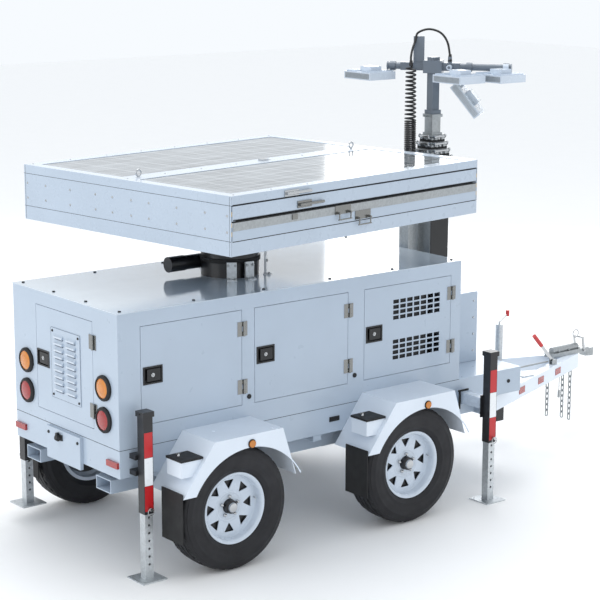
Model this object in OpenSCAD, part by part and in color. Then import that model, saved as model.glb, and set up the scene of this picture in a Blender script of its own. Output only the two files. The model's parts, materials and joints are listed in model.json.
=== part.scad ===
// Solar light-tower trailer: tandem-axle trailer with a boxed body, a slewing
// solar box with two slide-out trays, a telescoping mast with four floodlights,
// four drop-leg jacks and an A-frame drawbar.
// +X points to the hitch, +Y to the vehicle's left, +Z up, ground at z = 0.

/* [Body] */
// Length of the cabinet
cab_len = 2533; // [2300:1:2900]
// Width of the cabinet and of the base frame
cab_w = 1105; // [1000:1:1300]
// Height of the roof's top over the ground
roof_z = 1491; // [1440:1:1750]
// Height of the seam between base frame and cabinet
seam_z = 728; // [700:1:760]
// Underside of the base frame
skirt_z = 568; // [560:1:600]
// Sheet thickness of frame, cabinet and solar box
sheet = 4; // [2:0.5:5]
// Length of the deck in front of the cabinet
deck_len = 550; // [480:1:700]

/* [Doors] */
// Underside of the side doors
door_z0 = 850; // [800:1:900]
// Height of the side doors
door_h = 552; // [450:1:570]
// Gap all round a door
door_gap = 3; // [2:0.5:5]
// Depth of a door's folded edge
door_t = 20; // [15:1:30]
// Width of the rear door
rear_door_w = 596; // [480:1:640]

/* [Wheels] */
// Outer radius of a tyre
tyre_r = 359; // [330:1:375]
// Section width of a tyre
tyre_w = 218; // [180:1:226]
// Bead seat radius of the rim
rim_r = 190; // [175:1:205]
// Distance between the two axles
axle_gap = 1317; // [1250:1:1450]
// Distance from the centre line to a wheel's centre plane
track_y = 745; // [735:1:800]
// Radius of the spindle
spindle_r = 16; // [12:0.5:20]

/* [Fenders] */
// Height of a fender's flat top
fender_z = 775; // [765:1:840]
// Height of a fender's lower ends
fender_low_z = 490; // [440:1:520]
// Distance from the centre line to a fender's outer face
fender_y = 862; // [860:1:930]

/* [Jacks] */
// Outer size of a jack's square tube
jack_s = 60; // [50:1:80]
// Wall of the jack tube
jack_wall = 4; // [3:0.5:6]
// Distance from the centre line to a rear jack
rear_jack_y = 641; // [625:1:720]
// Distance from the centre line to a front jack
front_jack_y = 811; // [780:1:900]
// Height that the rear left foot hangs over the ground
raised_foot = 103; // [0:1:150]
// Side of a foot plate
foot_s = 160; // [120:1:200]

/* [Drawbar] */
// Angle of each drawbar beam to the centre line
beam_angle = 20.2; // [18:0.1:22]
// Width of a drawbar beam
beam_w = 60; // [50:1:80]
// Height of a drawbar beam
beam_h = 100; // [80:1:110]
// Radius of the coupling ball that the socket takes
ball_r = 25; // [23:0.5:30]

/* [Solar box] */
// Length of the solar box
box_len = 2053; // [1900:1:2200]
// Width of the solar box
box_w = 1762; // [1600:1:1900]
// Underside of the solar box
box_z = 1819; // [1780:1:1900]
// Angle that the box is slewed to
box_angle = 7.26; // [0:0.01:20]
// Clearance of a slide or a turning face
slide_gap = 0.3; // [0.1:0.1:1]

/* [Mast] */
// Side of the outer mast column
mast_s = 160; // [140:1:180]
// Height of the column's top
mast_top_z = 2070; // [1900:1:2200]
// Radius of the curly cord's turns
coil_r = 39; // [30:1:42]
// Length of a floodlight
lamp_len = 250; // [200:1:300]
// Width of a floodlight
lamp_w = 215; // [180:1:260]

/* [Hidden] */
$fn = 48;
eps = 0.01;
cab_rear = -1231;
cab_front = cab_rear + cab_len;
cab_y = cab_w / 2;
deck_front = cab_front + deck_len;
roof_t = 6;
roof_lip = 3;
shell_top = roof_z - roof_t;
plate_t = 21;
plate_lamp_t = 4;
nose_x = 3130;
x_mid = (nose_x + cab_rear - plate_t - plate_lamp_t) / 2;

rail_y = 375;
rail_w = 150;
rail_h = 77;
rail_wall = 5;
rail_z0 = skirt_z - 33 - rail_h;
cross_w = 60;
front_cross_x = deck_front - 310;
beam_z1 = rail_z0 + 92;

axle_z = tyre_r;
arm_reach = 150;
beam_s = 70;
wheel_seat_y = track_y + 22;
hub_bore_gap = 0.05;
rim_half = 76;
flange_r = rim_r + 17;
disc_t = 6;
bolt_circle_r = 57;
drum_r = 128;

fender_mid = 80;
fender_half = 235;
fender_t = 3;
fender_rear = -370;
fender_front = 408;
arch_r = 415;
arch_z = 290;

jack_x = -1122;
front_jack_x = cab_front + 19;
jack_top = 958;
jack_low = 380;
jack_cap = 74;
outrigger_s = 70;
outrigger_z = 620;
leg_s = jack_s - 2 * jack_wall - 2 * slide_gap;

slew_x = -70;
slew_r = 175;
post_r = 216;
// side and angle of each post round the slew ring
POSTS = [[-1, 50], [-1, 95], [-1, 124], [1, 50], [1, 95]];
slew_h = 116;
hub_h = 150;
box_x = 105;
box_h = 324;
box_top = box_z + box_h;
frame_h = 51;
low_skirt = 81;
border = 70;
rib = 70;
slot_top = box_top - frame_h;
slot_low = box_z + low_skirt;
tray_split = slot_low + 107;
runner = 34;
tray_w = box_len - 2 * sheet - 10;
tray_l = box_w - 10;

mast_x = 1550;
mast_wall = 5;
mast_step = 22;
collar_h = 44;
collar_gap = 0.3;
stage_low = seam_z + 60;
head_low = mast_top_z + 265;
head_s = 56;
bar_angle = 128;
bar_z = 2636;
cord_x = 1400;
cord_y = 47.5;
tube_top = mast_top_z + 5;
coil_top = 2655;

SIDES = [-1, 1];
AXLES = [-axle_gap / 2, axle_gap / 2];
// name, side, x of the hinge edge, x of the latch edge, vents
SIDE_DOORS = [
    ["right_door_rear", -1, -400, -1083, false],
    ["right_door_mid", -1, 385, -306, false],
    ["right_door_front", -1, 1216, 515, true],
    ["left_door_rear", 1, -400, -1083, false],
    ["left_door_front", 1, 1216, 515, true],
];

// ---- helpers ----------------------------------------------------------------

// moves the vehicle's own frame so that the object's middle lies at x = 0
module row() translate([-x_mid, 0, 0]) children();

module block(x0, x1, y0, y1, z0, z1)
    translate([x0, y0, z0]) cube([x1 - x0, y1 - y0, z1 - z0]);

module square_tube(size, wall, z0, z1)
    difference() {
        block(-size / 2, size / 2, -size / 2, size / 2, z0, z1);
        block(-size / 2 + wall, size / 2 - wall, -size / 2 + wall, size / 2 - wall, z0 - 1, z1 + 1);
    }

module rod(r, from, axis, length) {
    turn = axis == "x" ? [0, 90, 0] : axis == "y" ? [-90, 0, 0] : [0, 0, 0];
    translate(from) rotate(turn) cylinder(r = r, h = length);
}

// an outline in x and z, thickened from y0 to y1
module wall_xz(points, y0, y1)
    translate([0, y1, 0]) rotate([90, 0, 0]) linear_extrude(height = y1 - y0) polygon(points);

// places children at a wall of one side, with local y pointing out of the wall
module on_side(side) mirror([0, side < 0 ? 1 : 0, 0]) translate([0, cab_y, 0]) children();

// places children on the rear wall: local x runs to the right side, y points out
module on_rear() translate([cab_rear, 0, 0]) rotate([0, 0, 90]) children();

// ---- base frame and running gear --------------------------------------------

module base_frame() color("aliceblue") {
    sleeve = outrigger_s + 2 * slide_gap;
    difference() {
        union() {
            difference() {
                block(cab_rear, deck_front, -cab_y, cab_y, skirt_z, seam_z);
                block(cab_rear + sheet, deck_front - sheet, -cab_y + sheet, cab_y - sheet,
                    skirt_z - 1, seam_z - sheet);
            }
            for (s = SIDES)
                block(front_jack_x - sleeve / 2 - 5, front_jack_x + sleeve / 2 + 5,
                    s > 0 ? 200 : -cab_y - 60, s > 0 ? cab_y + 60 : -200,
                    outrigger_z - sleeve / 2 - 5, outrigger_z + sleeve / 2 + 5);
        }
        block(front_jack_x - sleeve / 2, front_jack_x + sleeve / 2, -cab_y - 61, cab_y + 61,
            outrigger_z - sleeve / 2, outrigger_z + sleeve / 2);
    }
    block(cab_rear - plate_t, cab_rear - slide_gap, -180, 180, skirt_z - 36, seam_z - 8);
}

// two rails, open at both ends as fork pockets, under separate cross members
module chassis_rails() color("aliceblue") {
    for (s = SIDES) difference() {
        block(cab_rear + 5, front_cross_x - slide_gap, s * rail_y - rail_w / 2, s * rail_y + rail_w / 2,
            rail_z0, rail_z0 + rail_h);
        block(cab_rear, front_cross_x, s * rail_y - rail_w / 2 + rail_wall,
            s * rail_y + rail_w / 2 - rail_wall, rail_z0 + rail_wall, rail_z0 + rail_h - rail_wall);
    }
    span = front_cross_x - cab_rear;
    for (i = [0:4])
        translate([cab_rear + span * (i + 0.5) / 5, 0, 0])
            block(-cross_w / 2, cross_w / 2, -cab_y, cab_y, rail_z0 + rail_h + slide_gap, skirt_z);
    block(front_cross_x, front_cross_x + 80, -cab_y, cab_y, beam_z1 - beam_h, skirt_z);
}

module axles() color("dimgray") for (x = AXLES) translate([x, 0, 0]) {
    beam_z = rail_z0 - beam_s / 2;
    arm_y = cab_y + 15;
    difference() {
        union() {
            block(arm_reach - beam_s / 2, arm_reach + beam_s / 2, -arm_y, arm_y,
                beam_z - beam_s / 2, beam_z + beam_s / 2);
            for (s = SIDES) {
                y0 = s > 0 ? arm_y : -arm_y - 20;
                wall_xz([[-35, axle_z - 30], [-35, axle_z + 30], [arm_reach - 30, beam_z + 34],
                    [arm_reach + 35, beam_z + 34], [arm_reach + 35, beam_z - 35]], y0, y0 + 20);
                rod(spindle_r, [0, s > 0 ? arm_y : -wheel_seat_y - 30, axle_z], "y",
                    wheel_seat_y + 30 - arm_y);
            }
        }
        block(arm_reach - beam_s / 2 + 6, arm_reach + beam_s / 2 - 6, -arm_y + 6, arm_y - 6,
            beam_z - beam_s / 2 + 6, beam_z + beam_s / 2 - 6);
    }
}

function bulge(r) = tyre_w / 2 - 0.0053 * pow(r - (rim_r + tyre_r) / 2, 2);

module tyre_section() {
    inset = 14;
    radii = [for (i = [0:8]) flange_r + 2 + (tyre_r - 14 - flange_r - 2) * i / 8];
    outer = [[rim_r, rim_half], [flange_r + 1, rim_half], for (r = radii) [r, bulge(r)],
        [tyre_r, tyre_w * 0.34]];
    inner = [[rim_r, rim_half - 20], [flange_r + 6, rim_half - 18],
        for (i = [1:6]) [radii[i], bulge(radii[i]) - inset], [tyre_r - 18, tyre_w * 0.25]];
    n = len(outer);
    m = len(inner);
    difference() {
        polygon([for (p = outer) p, for (i = [1:n]) [outer[n - i][0], -outer[n - i][1]],
            for (p = inner) [p[0], -p[1]], for (i = [1:m]) inner[m - i]]);
        for (t = [-36, 0, 36]) translate([tyre_r - 8, t - 4]) square([20, 8]);
    }
}

module at_wheel(side, x)
    translate([x, side * track_y, axle_z]) rotate([-90, 0, 0]) mirror([0, 0, side < 0 ? 1 : 0]) children();

module tyre(side, x) color("#1b1c1e") at_wheel(side, x)
    rotate_extrude($fn = 96) tyre_section();

module wheel(side, x) at_wheel(side, x) {
    seat = wheel_seat_y - track_y;
    color("white") {
        difference() {
            union() {
                rotate_extrude($fn = 96) polygon([[rim_r - 6, -84], [flange_r, -84], [flange_r, -rim_half],
                    [rim_r, -rim_half], [rim_r, rim_half], [flange_r, rim_half], [flange_r, 84], [rim_r - 6, 84]]);
                translate([0, 0, seat]) cylinder(r = rim_r - 3, h = disc_t, $fn = 96);
            }
            translate([0, 0, seat - 1]) cylinder(r = 40, h = disc_t + 2);
            for (i = [0:7]) rotate([0, 0, i * 45]) translate([0, 0, seat - 1])
                linear_extrude(height = disc_t + 2) polygon([[98, 0], [148, -27], [148, 27]]);
        }
    }
    color("#202124") difference() {
        union() {
            translate([0, 0, seat - 10]) cylinder(r = 75, h = 10);
            translate([0, 0, seat - 1]) cylinder(r = 39.5, h = 38);
            translate([0, 0, seat - 67]) cylinder(r = drum_r, h = 57);
        }
        translate([0, 0, seat - 68]) cylinder(r = drum_r - 12, h = 48);
        translate([0, 0, seat - 68]) cylinder(r = spindle_r + hub_bore_gap, h = 100);
    }
    color("silver") translate([0, 0, seat + 37]) cylinder(r = 26, h = 16);
    color("silver") for (i = [0:4]) rotate([0, 0, i * 72 + 18])
        translate([bolt_circle_r, 0, seat + disc_t]) cylinder(r = 11, h = 16, $fn = 6);
}

function slope_x(z) = fender_rear
    + (z - fender_low_z) * (fender_mid - fender_half - fender_rear) / (fender_z - fender_low_z);

module fender_at(side, x) translate([x, 0, 0]) mirror([0, side < 0 ? 1 : 0, 0]) children();

module fender() {
    x0 = fender_mid - fender_half;
    x1 = fender_mid + fender_half;
    outline = [[fender_rear, fender_low_z], [x0, fender_z], [x1, fender_z], [fender_front, fender_low_z]];
    inner = [[fender_rear + 4, fender_low_z], [x0 + 2, fender_z - fender_t],
        [x1 - 2, fender_z - fender_t], [fender_front - 4, fender_low_z]];
    wall_xz([each outline, for (i = [3:-1:0]) inner[i]], cab_y, fender_y);
    difference() {
        wall_xz(outline, fender_y - fender_t, fender_y);
        rod(arch_r, [fender_mid, fender_y - 10, arch_z], "y", 20);
    }
}

module tool_box() {
    z0 = 600;
    z1 = fender_z - 85;
    x0 = fender_rear + 9;
    wall_xz([[x0, z0], [x0, z1], [slope_x(z1), z1], [slope_x(z0), z0]], cab_y + 145, fender_y - 28);
}

module fenders() color("white") for (s = SIDES, x = AXLES) fender_at(s, x) {
    fender();
    tool_box();
}

module mudflaps() color("#26272b") for (s = SIDES, x = AXLES) fender_at(s, x)
    block(fender_rear - 6, fender_rear, cab_y + 110, fender_y - 2, fender_low_z - 260, fender_low_z + 30);

// ---- drawbar ----------------------------------------------------------------

function beam_y(x) = 383 + tan(beam_angle) * (2029 - x);

module beam_outline(inset, x0, x1) {
    w = (beam_w - inset) / cos(beam_angle);
    i = inset / cos(beam_angle);
    polygon([[x0, beam_y(x0) - w], [x0, beam_y(x0) - i], [x1, beam_y(x1) - i], [x1, beam_y(x1) - w]]);
}

module drawbar() color("aliceblue") {
    x0 = front_cross_x + 80;
    tip = 2950;
    for (s = SIDES) mirror([0, s < 0 ? 1 : 0, 0]) {
        difference() {
            translate([0, 0, beam_z1 - beam_h]) linear_extrude(height = beam_h) beam_outline(0, x0, tip);
            translate([0, 0, beam_z1 - beam_h + 5]) linear_extrude(height = beam_h - 10)
                beam_outline(5, x0 + 5, 2680);
        }
        translate([0, 0, beam_z1 - beam_h - 4]) linear_extrude(height = 4)
            polygon([[deck_front - 130, 380], [deck_front - 130, 470], [deck_front + 95, beam_y(deck_front + 95) - 3],
                [deck_front + 95, beam_y(deck_front + 95) - 50]]);
    }
}

module drawbar_bridge() block(2150, 2250, -290, 290, beam_z1, beam_z1 + 8);

module coupler() color("lightgray") {
    z = beam_z1;
    difference() {
        union() {
            block(2690, 3060, -38, 38, z, z + 30);
            rod(24, [2720, 0, z + 44], "x", 250);
            block(3040, nose_x - 45, -30, 30, z - 34, z + 22);
            rod(45, [nose_x - 45, 0, z - 34], "z", 56);
        }
        translate([nose_x - 45, 0, z - 20]) sphere(r = ball_r + 0.5);
        rod(ball_r + 0.5, [nose_x - 45, 0, z - 35], "z", 15);
        rod(6, [3010, -40, z + 14], "y", 80);
    }
    brake_bracket();
}

module coupler_latch() color("silver") {
    z = beam_z1 + 14;
    rod(5.95, [3010, -50, z], "y", 100);
    for (s = SIDES) wall_xz([[3002, z - 8], [3018, z - 8], [2998, z + 104], [2982, z + 104]],
        s > 0 ? 39 : -45, s > 0 ? 45 : -39);
    block(2982, 2998, -39, 39, z + 90, z + 104);
    translate([2962, 0, z + 122]) rotate([0, 60, 0]) rotate([90, 0, 0])
        rotate_extrude() translate([27, 0]) circle(r = 4);
}

brake_x = 2580;
brake_y = 150;
brake_pin_r = 6;
module handbrake_lever() translate([brake_x, -brake_y, beam_z1 + 20]) rotate([0, -43, 0]) {
    color("silver") difference() {
        union() {
            rod(13, [0, -9, 0], "y", 18);
            block(-10, 10, -4, 4, 8, 175);
        }
        rod(brake_pin_r + hub_bore_gap, [0, -10, 0], "y", 20);
    }
    color("firebrick") rod(14, [0, 0, 175], "z", 110);
}

module brake_bracket() translate([brake_x, -brake_y, beam_z1]) {
    for (s = SIDES) block(-22, 22, s * 13 - 3, s * 13 + 3, 0, 36);
    block(-22, 22, -16, 16, 0, 4);
    rod(brake_pin_r, [0, -16, 20], "y", 32);
}

link_r = 11;
link_wire = 4.4;
link_half = 24;
link_pitch = 2 * link_half - 2 * link_wire - slide_gap;

module link() {
    straight = link_half - link_r;
    for (s = SIDES) {
        translate([0, 0, s * straight]) rotate([s > 0 ? 90 : -90, 0, 0])
            rotate_extrude(angle = 180, $fn = 24) translate([link_r, 0]) circle(r = link_wire, $fn = 24);
        translate([s * link_r, 0, -straight]) cylinder(r = link_wire, h = 2 * straight, $fn = 24);
    }
}

module safety_chains() color("gray") {
    low = beam_z1 - beam_h;
    eye = 13;
    // position and number of links of each chain
    for (c = [[2880, -35, 9], [2880, 35, 9], [2520, -160, 6]]) translate([c[0], c[1], low]) {
        difference() {
            block(-14, 14, -4, 4, -24, 0);
            rod(6, [0, -5, -eye], "y", 10);
        }
        for (i = [0:c[2] - 1])
            translate([0, 0, -eye - 1.3 - link_half - link_pitch * i]) rotate([0, 0, i % 2 * 90 + 90]) link();
    }
    translate([2680, -120, low]) {
        rod(3, [0, 0, -110], "z", 110);
        rod(9, [0, 0, -160], "z", 50);
    }
}

tongue_x = 2200;
module tongue_jack_tube() color("silver") {
    translate([tongue_x, 0, 0]) difference() {
        rod(26, [0, 0, beam_z1 - 130], "z", 440);
        rod(22, [0, 0, beam_z1 - 131], "z", 430);
        rod(6, [0, 0, beam_z1 + 290], "z", 30);
    }
    difference() {
        drawbar_bridge();
        rod(26, [tongue_x, 0, beam_z1 - 1], "z", 20);
    }
}

module tongue_jack_leg() {
    color("silver") rod(21.7, [tongue_x, 0, 290], "z", 330);
    color("#222222") translate([tongue_x, 0, 0]) block(-32, 32, -32, 32, 185, 290);
}

module tongue_jack_crank() {
    z = beam_z1 + 310;
    color("silver") {
        rod(5.95, [tongue_x, 0, z - 18], "z", 40);
        translate([tongue_x, 0, z + 14]) rotate([0, 58, 0]) rod(5, [0, 0, 0], "z", 84);
    }
    color("firebrick") rod(13, [tongue_x + 76, 0, z + 46], "z", 40);
}

// ---- cabinet ----------------------------------------------------------------

hinge_out = 8;
hinge_off = 13;

module door_opening(x0, x1, z0, h, depth)
    block(x0 - door_gap, x1 + door_gap, -depth, 1, z0 - door_gap, z0 + h + door_gap);

module stop_ring(x0, x1, z0, h) difference() {
    block(x0 - 22, x1 + 22, -door_t - 10, -sheet, z0 - 22, z0 + h + 22);
    block(x0 - door_gap, x1 + door_gap, -door_t - 2, 0, z0 - door_gap, z0 + h + door_gap);
    block(x0 + 14, x1 - 14, -door_t - 11, 0, z0 + 14, z0 + h - 14);
}

rear_y0 = -rear_door_w / 2;
module cabinet_shell() color("aliceblue") difference() {
    union() {
        difference() {
            block(cab_rear, cab_front, -cab_y, cab_y, seam_z, shell_top);
            block(cab_rear + sheet, cab_front - sheet, -cab_y + sheet, cab_y - sheet, seam_z - 1, shell_top + 1);
        }
        for (d = SIDE_DOORS) on_side(d[1]) stop_ring(d[3], d[2], door_z0, door_h);
        on_rear() stop_ring(rear_y0, rear_y0 + rear_door_w, door_z0 - 50, door_h + 53);
        block(450 - sheet, 450, -cab_y + sheet, cab_y - sheet, seam_z, shell_top - 60);
    }
    for (d = SIDE_DOORS) on_side(d[1]) door_opening(d[3], d[2], door_z0, door_h, sheet + 1);
    on_rear() door_opening(rear_y0, rear_y0 + rear_door_w, door_z0 - 50, door_h + 53, sheet + 1);
}

module cabinet_roof() color("white") {
    block(cab_rear - roof_lip, cab_front + roof_lip, -cab_y - roof_lip, cab_y + roof_lip, shell_top, roof_z);
    for (x = [-650, 330, 800]) difference() {
        block(x, x + 40, -cab_y + 30, cab_y - 30, shell_top - 34, shell_top);
        block(x + 4, x + 41, -cab_y + 29, cab_y - 29, shell_top - 30, shell_top - 4);
    }
}

// a door lying in the xz plane, outer face at y = 0, hinge side at u = 0
module door_panel(w, h, latch_w, latch_h, latch_u, latch_z, vents) {
    difference() {
        block(0, w, -door_t, 0, 0, h);
        block(2.5, w - 2.5, -door_t - 1, -2.5, 2.5, h - 2.5);
        block(latch_u, latch_u + latch_w, -4, 1, latch_z, latch_z + latch_h);
        if (vents) for (z0 = [90, 338], i = [0:6], k = [0:3])
            block(91 + i * 56, 137 + i * 56, -4, 1, z0 + k * 33, z0 + k * 33 + 24);
    }
}

module latch(w, h, u, z) color("#17181a") {
    difference() {
        block(u, u + w, -16, 4, z, z + h);
        block(u + 9, u + w - 9, -12, 5, z + 9, z + h - 9);
    }
    block(u + 14, u + w - 26, -4, 3, z + 16, z + h - 16);
    block(u + w / 2 - 12, u + w / 2 + 4, -12, -4, z + h / 2 - 10, z + h / 2 + 10);
}

leaf_h = 84;
module hinge_fixed() color("silver") {
    translate([0, hinge_out, 0]) {
        cylinder(r = 3.9, h = leaf_h);
        translate([0, 0, leaf_h / 3 + 0.5]) cylinder(r = 7, h = leaf_h / 3 - 1);
    }
    block(-26, -8.5, 0, 3, 0, leaf_h);
    block(-9, 0, 0, 3, leaf_h / 3 + 0.5, leaf_h * 2 / 3 - 0.5);
}

module hinge_moving() color("silver") {
    for (z = [0, leaf_h * 2 / 3]) difference() {
        union() {
            translate([0, hinge_out, z]) cylinder(r = 7, h = leaf_h / 3);
            block(0, 14, 0, 3, z, z + leaf_h / 3);
        }
        translate([0, hinge_out, z - 1]) cylinder(r = 3.95, h = leaf_h);
    }
    block(hinge_off, 44, 0, 3, 0, leaf_h);
}

// the local frame of a door: u from the hinge axis to the latch, y out, z up from its lower edge
module door_frame(d) on_side(d[1]) translate([d[2] + hinge_off, 0, door_z0]) mirror([1, 0, 0]) children();

module side_door(d) door_frame(d) {
    w = d[2] - d[3];
    color("aliceblue") translate([hinge_off, 0, 0])
        door_panel(w, door_h, 128, 100, w - 140, 223, d[4]);
    latch(128, 100, hinge_off + w - 140, 223);
    for (z = [65, 402]) translate([0, 0, z]) hinge_moving();
}

rear_h = door_h + 53;
module rear_door_frame() on_rear() translate([rear_y0 - hinge_off, 0, door_z0 - 50]) children();

module louvre_panel() {
    block(0, 307, 0, 3, 0, 407);
    for (x = [45, 176], i = [0:8]) translate([x, 3, 48 + i * 38]) rotate([90, 0, 90])
        linear_extrude(height = 86) polygon([[0, 0], [10, 4], [0, 24]]);
}

module rear_door() rear_door_frame() {
    color("aliceblue") {
        translate([hinge_off, 0, 0])
            door_panel(rear_door_w, rear_h, 130, 97, rear_door_w - 137, 253, false);
        translate([hinge_off + 125, 0, 95]) louvre_panel();
    }
    latch(130, 97, hinge_off + rear_door_w - 137, 253);
    for (z = [60, 450]) translate([0, 0, z]) hinge_moving();
}

module door_hinges() {
    for (d = SIDE_DOORS) door_frame(d) for (z = [65, 402]) translate([0, 0, z]) hinge_fixed();
    rear_door_frame() for (z = [60, 450]) translate([0, 0, z]) hinge_fixed();
}

// ---- lamps and small trim ---------------------------------------------------

module marker_lamps() {
    for (s = SIDES) {
        color("orange") rod(55, [cab_rear - 16, s * 410, 1055], "x", 12);
        color("red") rod(55, [cab_rear - 16, s * 410, 875], "x", 12);
        color("red") block(cab_rear - 14, cab_rear, s * 490 - 55, s * 490 + 55, 626, 660);
        color("orange") for (x = AXLES)
            rod(21, [x + fender_mid + 15, s > 0 ? fender_y : -fender_y - 10, fender_z - 52], "y", 10);
        color("red") for (x = [2010, 2300, 2570]) mirror([0, s < 0 ? 1 : 0, 0])
            translate([x, beam_y(x), beam_z1 - 72]) rotate([0, 0, -beam_angle]) block(0, 88, 0, 3, 0, 44);
    }
}

module black_trim() color("#18191b") {
    for (s = SIDES, z = [1055, 875]) difference() {
        rod(72, [cab_rear - 12, s * 410, z], "x", 12);
        rod(55, [cab_rear - 13, s * 410, z], "x", 9);
    }
    for (s = SIDES, i = [0:5])
        rod(9, [cab_rear + 44 + i * (cab_len - 88) / 5, s * (cab_y - 44), roof_z], "z", 5);
    for (i = [1:2]) rod(9, [cab_rear + 44, -cab_y + 44 + i * (cab_w - 88) / 3, roof_z], "z", 5);
    for (s = SIDES, x = [-349, 440]) rod(14, [x, s > 0 ? cab_y : -cab_y - 5, 892], "y", 5);
    for (s = SIDES) block(247, 321, s > 0 ? cab_y : -cab_y - 6, s > 0 ? cab_y + 6 : -cab_y, 636, 664);
    for (s = SIDES) rod(12, [1740, s > 0 ? cab_y : -cab_y - 6, 648], "y", 6);
    block(cab_rear - plate_t - plate_lamp_t, cab_rear - plate_t, 20, 60, 664, 692);
    for (s = SIDES, x = AXLES) fender_at(s, x)
        block(fender_rear + 4, slope_x(fender_z - 85) - 1, cab_y + 140, fender_y - 22,
            fender_z - 85, fender_z - 73);
    for (s = SIDES) mirror([0, s < 0 ? 1 : 0, 0]) {
        rod(7, [front_jack_x - 48, cab_y + 40, outrigger_z - 70], "z", 112);
        rod(6, [front_jack_x - 60, cab_y + 40, outrigger_z + 47], "x", 85);
    }
}

// ---- jacks ------------------------------------------------------------------

module jack_tube() {
    color("#17181a") {
        square_tube(jack_s, jack_wall, jack_low, jack_top - 30);
        block(-jack_cap / 2, jack_cap / 2, -jack_cap / 2, jack_cap / 2, jack_top - 30, jack_top);
    }
    color("silver") rod(9, [0, -jack_s / 2 - 22, jack_low + 30], "y", 22);
}

module rear_jack_tubes() for (s = SIDES) translate([jack_x, 0, 0]) mirror([0, s < 0 ? 0 : 1, 0]) {
    translate([0, -rear_jack_y, 0]) jack_tube();
    color("#17181a") for (z = [590, 680])
        block(-46, 46, -rear_jack_y + jack_s / 2, -cab_y, z, z + 28);
}

module jack_leg(foot_z) {
    color("lightgray") difference() {
        square_tube(leg_s, 4, foot_z + 8, 655);
        for (z = [90:45:540]) rod(7, [0, -40, foot_z + z], "y", 80);
    }
    color("lightgray") difference() {
        block(-foot_s / 2, foot_s / 2, -foot_s / 2, foot_s / 2, foot_z, foot_z + 8);
        for (x = SIDES, y = SIDES)
            rod(6, [x * (foot_s / 2 - 20), y * (foot_s / 2 - 20), foot_z - 1], "z", 10);
    }
}

module leg_at(front, side, foot_z)
    translate([front ? front_jack_x : jack_x, side * (front ? front_jack_y : rear_jack_y), 0])
        jack_leg(foot_z);

module outrigger(side) mirror([0, side > 0 ? 1 : 0, 0]) {
    end = front_jack_y - jack_s / 2 - 8;
    h = outrigger_s / 2;
    color("aliceblue") difference() {
        block(front_jack_x - h, front_jack_x + h, -end, -240, outrigger_z - h, outrigger_z + h);
        block(front_jack_x - h + 5, front_jack_x + h - 5, -end + 5, -239,
            outrigger_z - h + 5, outrigger_z + h - 5);
    }
    color("#17181a") block(front_jack_x - 46, front_jack_x + 46, -end - 8, -end,
        outrigger_z - 85, outrigger_z + 55);
    translate([front_jack_x, -front_jack_y, 0]) jack_tube();
}

// ---- inside the cabinet -----------------------------------------------------

module battery_and_inverter() {
    shelf_gap = 231;
    color("#2b2d31") for (i = [0:3], k = [0:1], s = SIDES)
        translate([-1080 + i * 230, s * 130 - 85, seam_z + 2 + slide_gap + k * shelf_gap])
            block(0, 200, 0, 170, 0, 224);
    color("silver") for (k = [0:1])
        block(-1100, -170, -235, 235, seam_z + k * shelf_gap - (k > 0 ? 4 : 0), seam_z + k * shelf_gap + 2);
    color("silver") for (x = [-1100, -176], s = SIDES)
        block(x, x + 6, s * 240 - 5, s * 240 + 5, seam_z, seam_z + 245);
    color("steelblue") block(446 - 140, 446, -200, 200, 980, 1330);
    color("#333333") block(446 - 20, 446, 230, 440, 1000, 1300);
}

module generator_set() {
    color("dimgray") for (s = SIDES) block(520, 1180, s * 140 - 25, s * 140 + 25, seam_z, seam_z + 60);
    color("darkred") block(560, 860, -165, 165, seam_z + 60, seam_z + 430);
    color("#444444") rod(150, [860, 0, seam_z + 230], "x", 260);
    color("silver") rod(60, [600, 230, seam_z + 460], "x", 320);
    color("gray") block(640, 700, 165, 230, seam_z + 380, seam_z + 400);
    color("#222222") block(1188, 1290, -400, 400, seam_z, seam_z + 240);
}

// ---- slewing solar box ------------------------------------------------------

module at_slew() translate([slew_x, 0, 0]) children();

module slew_base() {
    at_slew() color("#141517") {
        rod(slew_r, [0, 0, roof_z], "z", slew_h);
        translate([0, 0, roof_z + 72]) {
            rod(43, [-250, 128, 0], "x", 330);
            rod(46, [-362, 128, 0], "x", 112);
        }
    }
    at_slew() color("lightgray") for (p = POSTS) rotate([0, 0, p[0] * p[1]])
        translate([post_r, 0, 0]) {
            wide = p[1] == 50 ? 25 : 58;
            tall = p[1] == 50 ? slew_h + hub_h : 104;
            block(-6, 6, -wide / 2, wide / 2, roof_z + 6, roof_z + tall);
            block(-12, 34, -wide / 2, wide / 2, roof_z, roof_z + 6);
        }
}

module slew_frame() at_slew() {
    low = roof_z + slew_h + slide_gap;
    color("#141517") {
        rod(slew_r, [0, 0, low], "z", 30);
        rod(120, [0, 0, low + 30], "z", hub_h - 30);
    }
    color("lightgray") rotate([0, 0, box_angle]) difference() {
        union() {
            for (s = SIDES) block(-330, 620, s * 80 - 30, s * 80 + 30, low + hub_h, box_z - 8);
            block(-110, 110, -110, 110, low + hub_h, low + hub_h + 20);
            for (x = [-330, 560]) block(x, x + 60, -500, 500, low + hub_h + 20, box_z - 8);
            block(-340, 630, -300, 300, box_z - 8, box_z);
        }
        block(-100, 400, -48, 48, box_z - 9, box_z + 1);
    }
}

module at_box() translate([box_x, 0, 0]) rotate([0, 0, box_angle]) children();

half_l = box_len / 2;
half_w = box_w / 2;
win_y1 = half_w - border - 4;
module box_plan(inset) square([box_len - 2 * inset, box_w - 2 * inset], center = true);
module window_plan(grow)
    for (s = SIDES) translate([-half_l + border - grow, s > 0 ? rib - grow : -win_y1 - grow])
        square([box_len - 2 * border + 2 * grow, win_y1 - rib + 2 * grow]);

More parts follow.
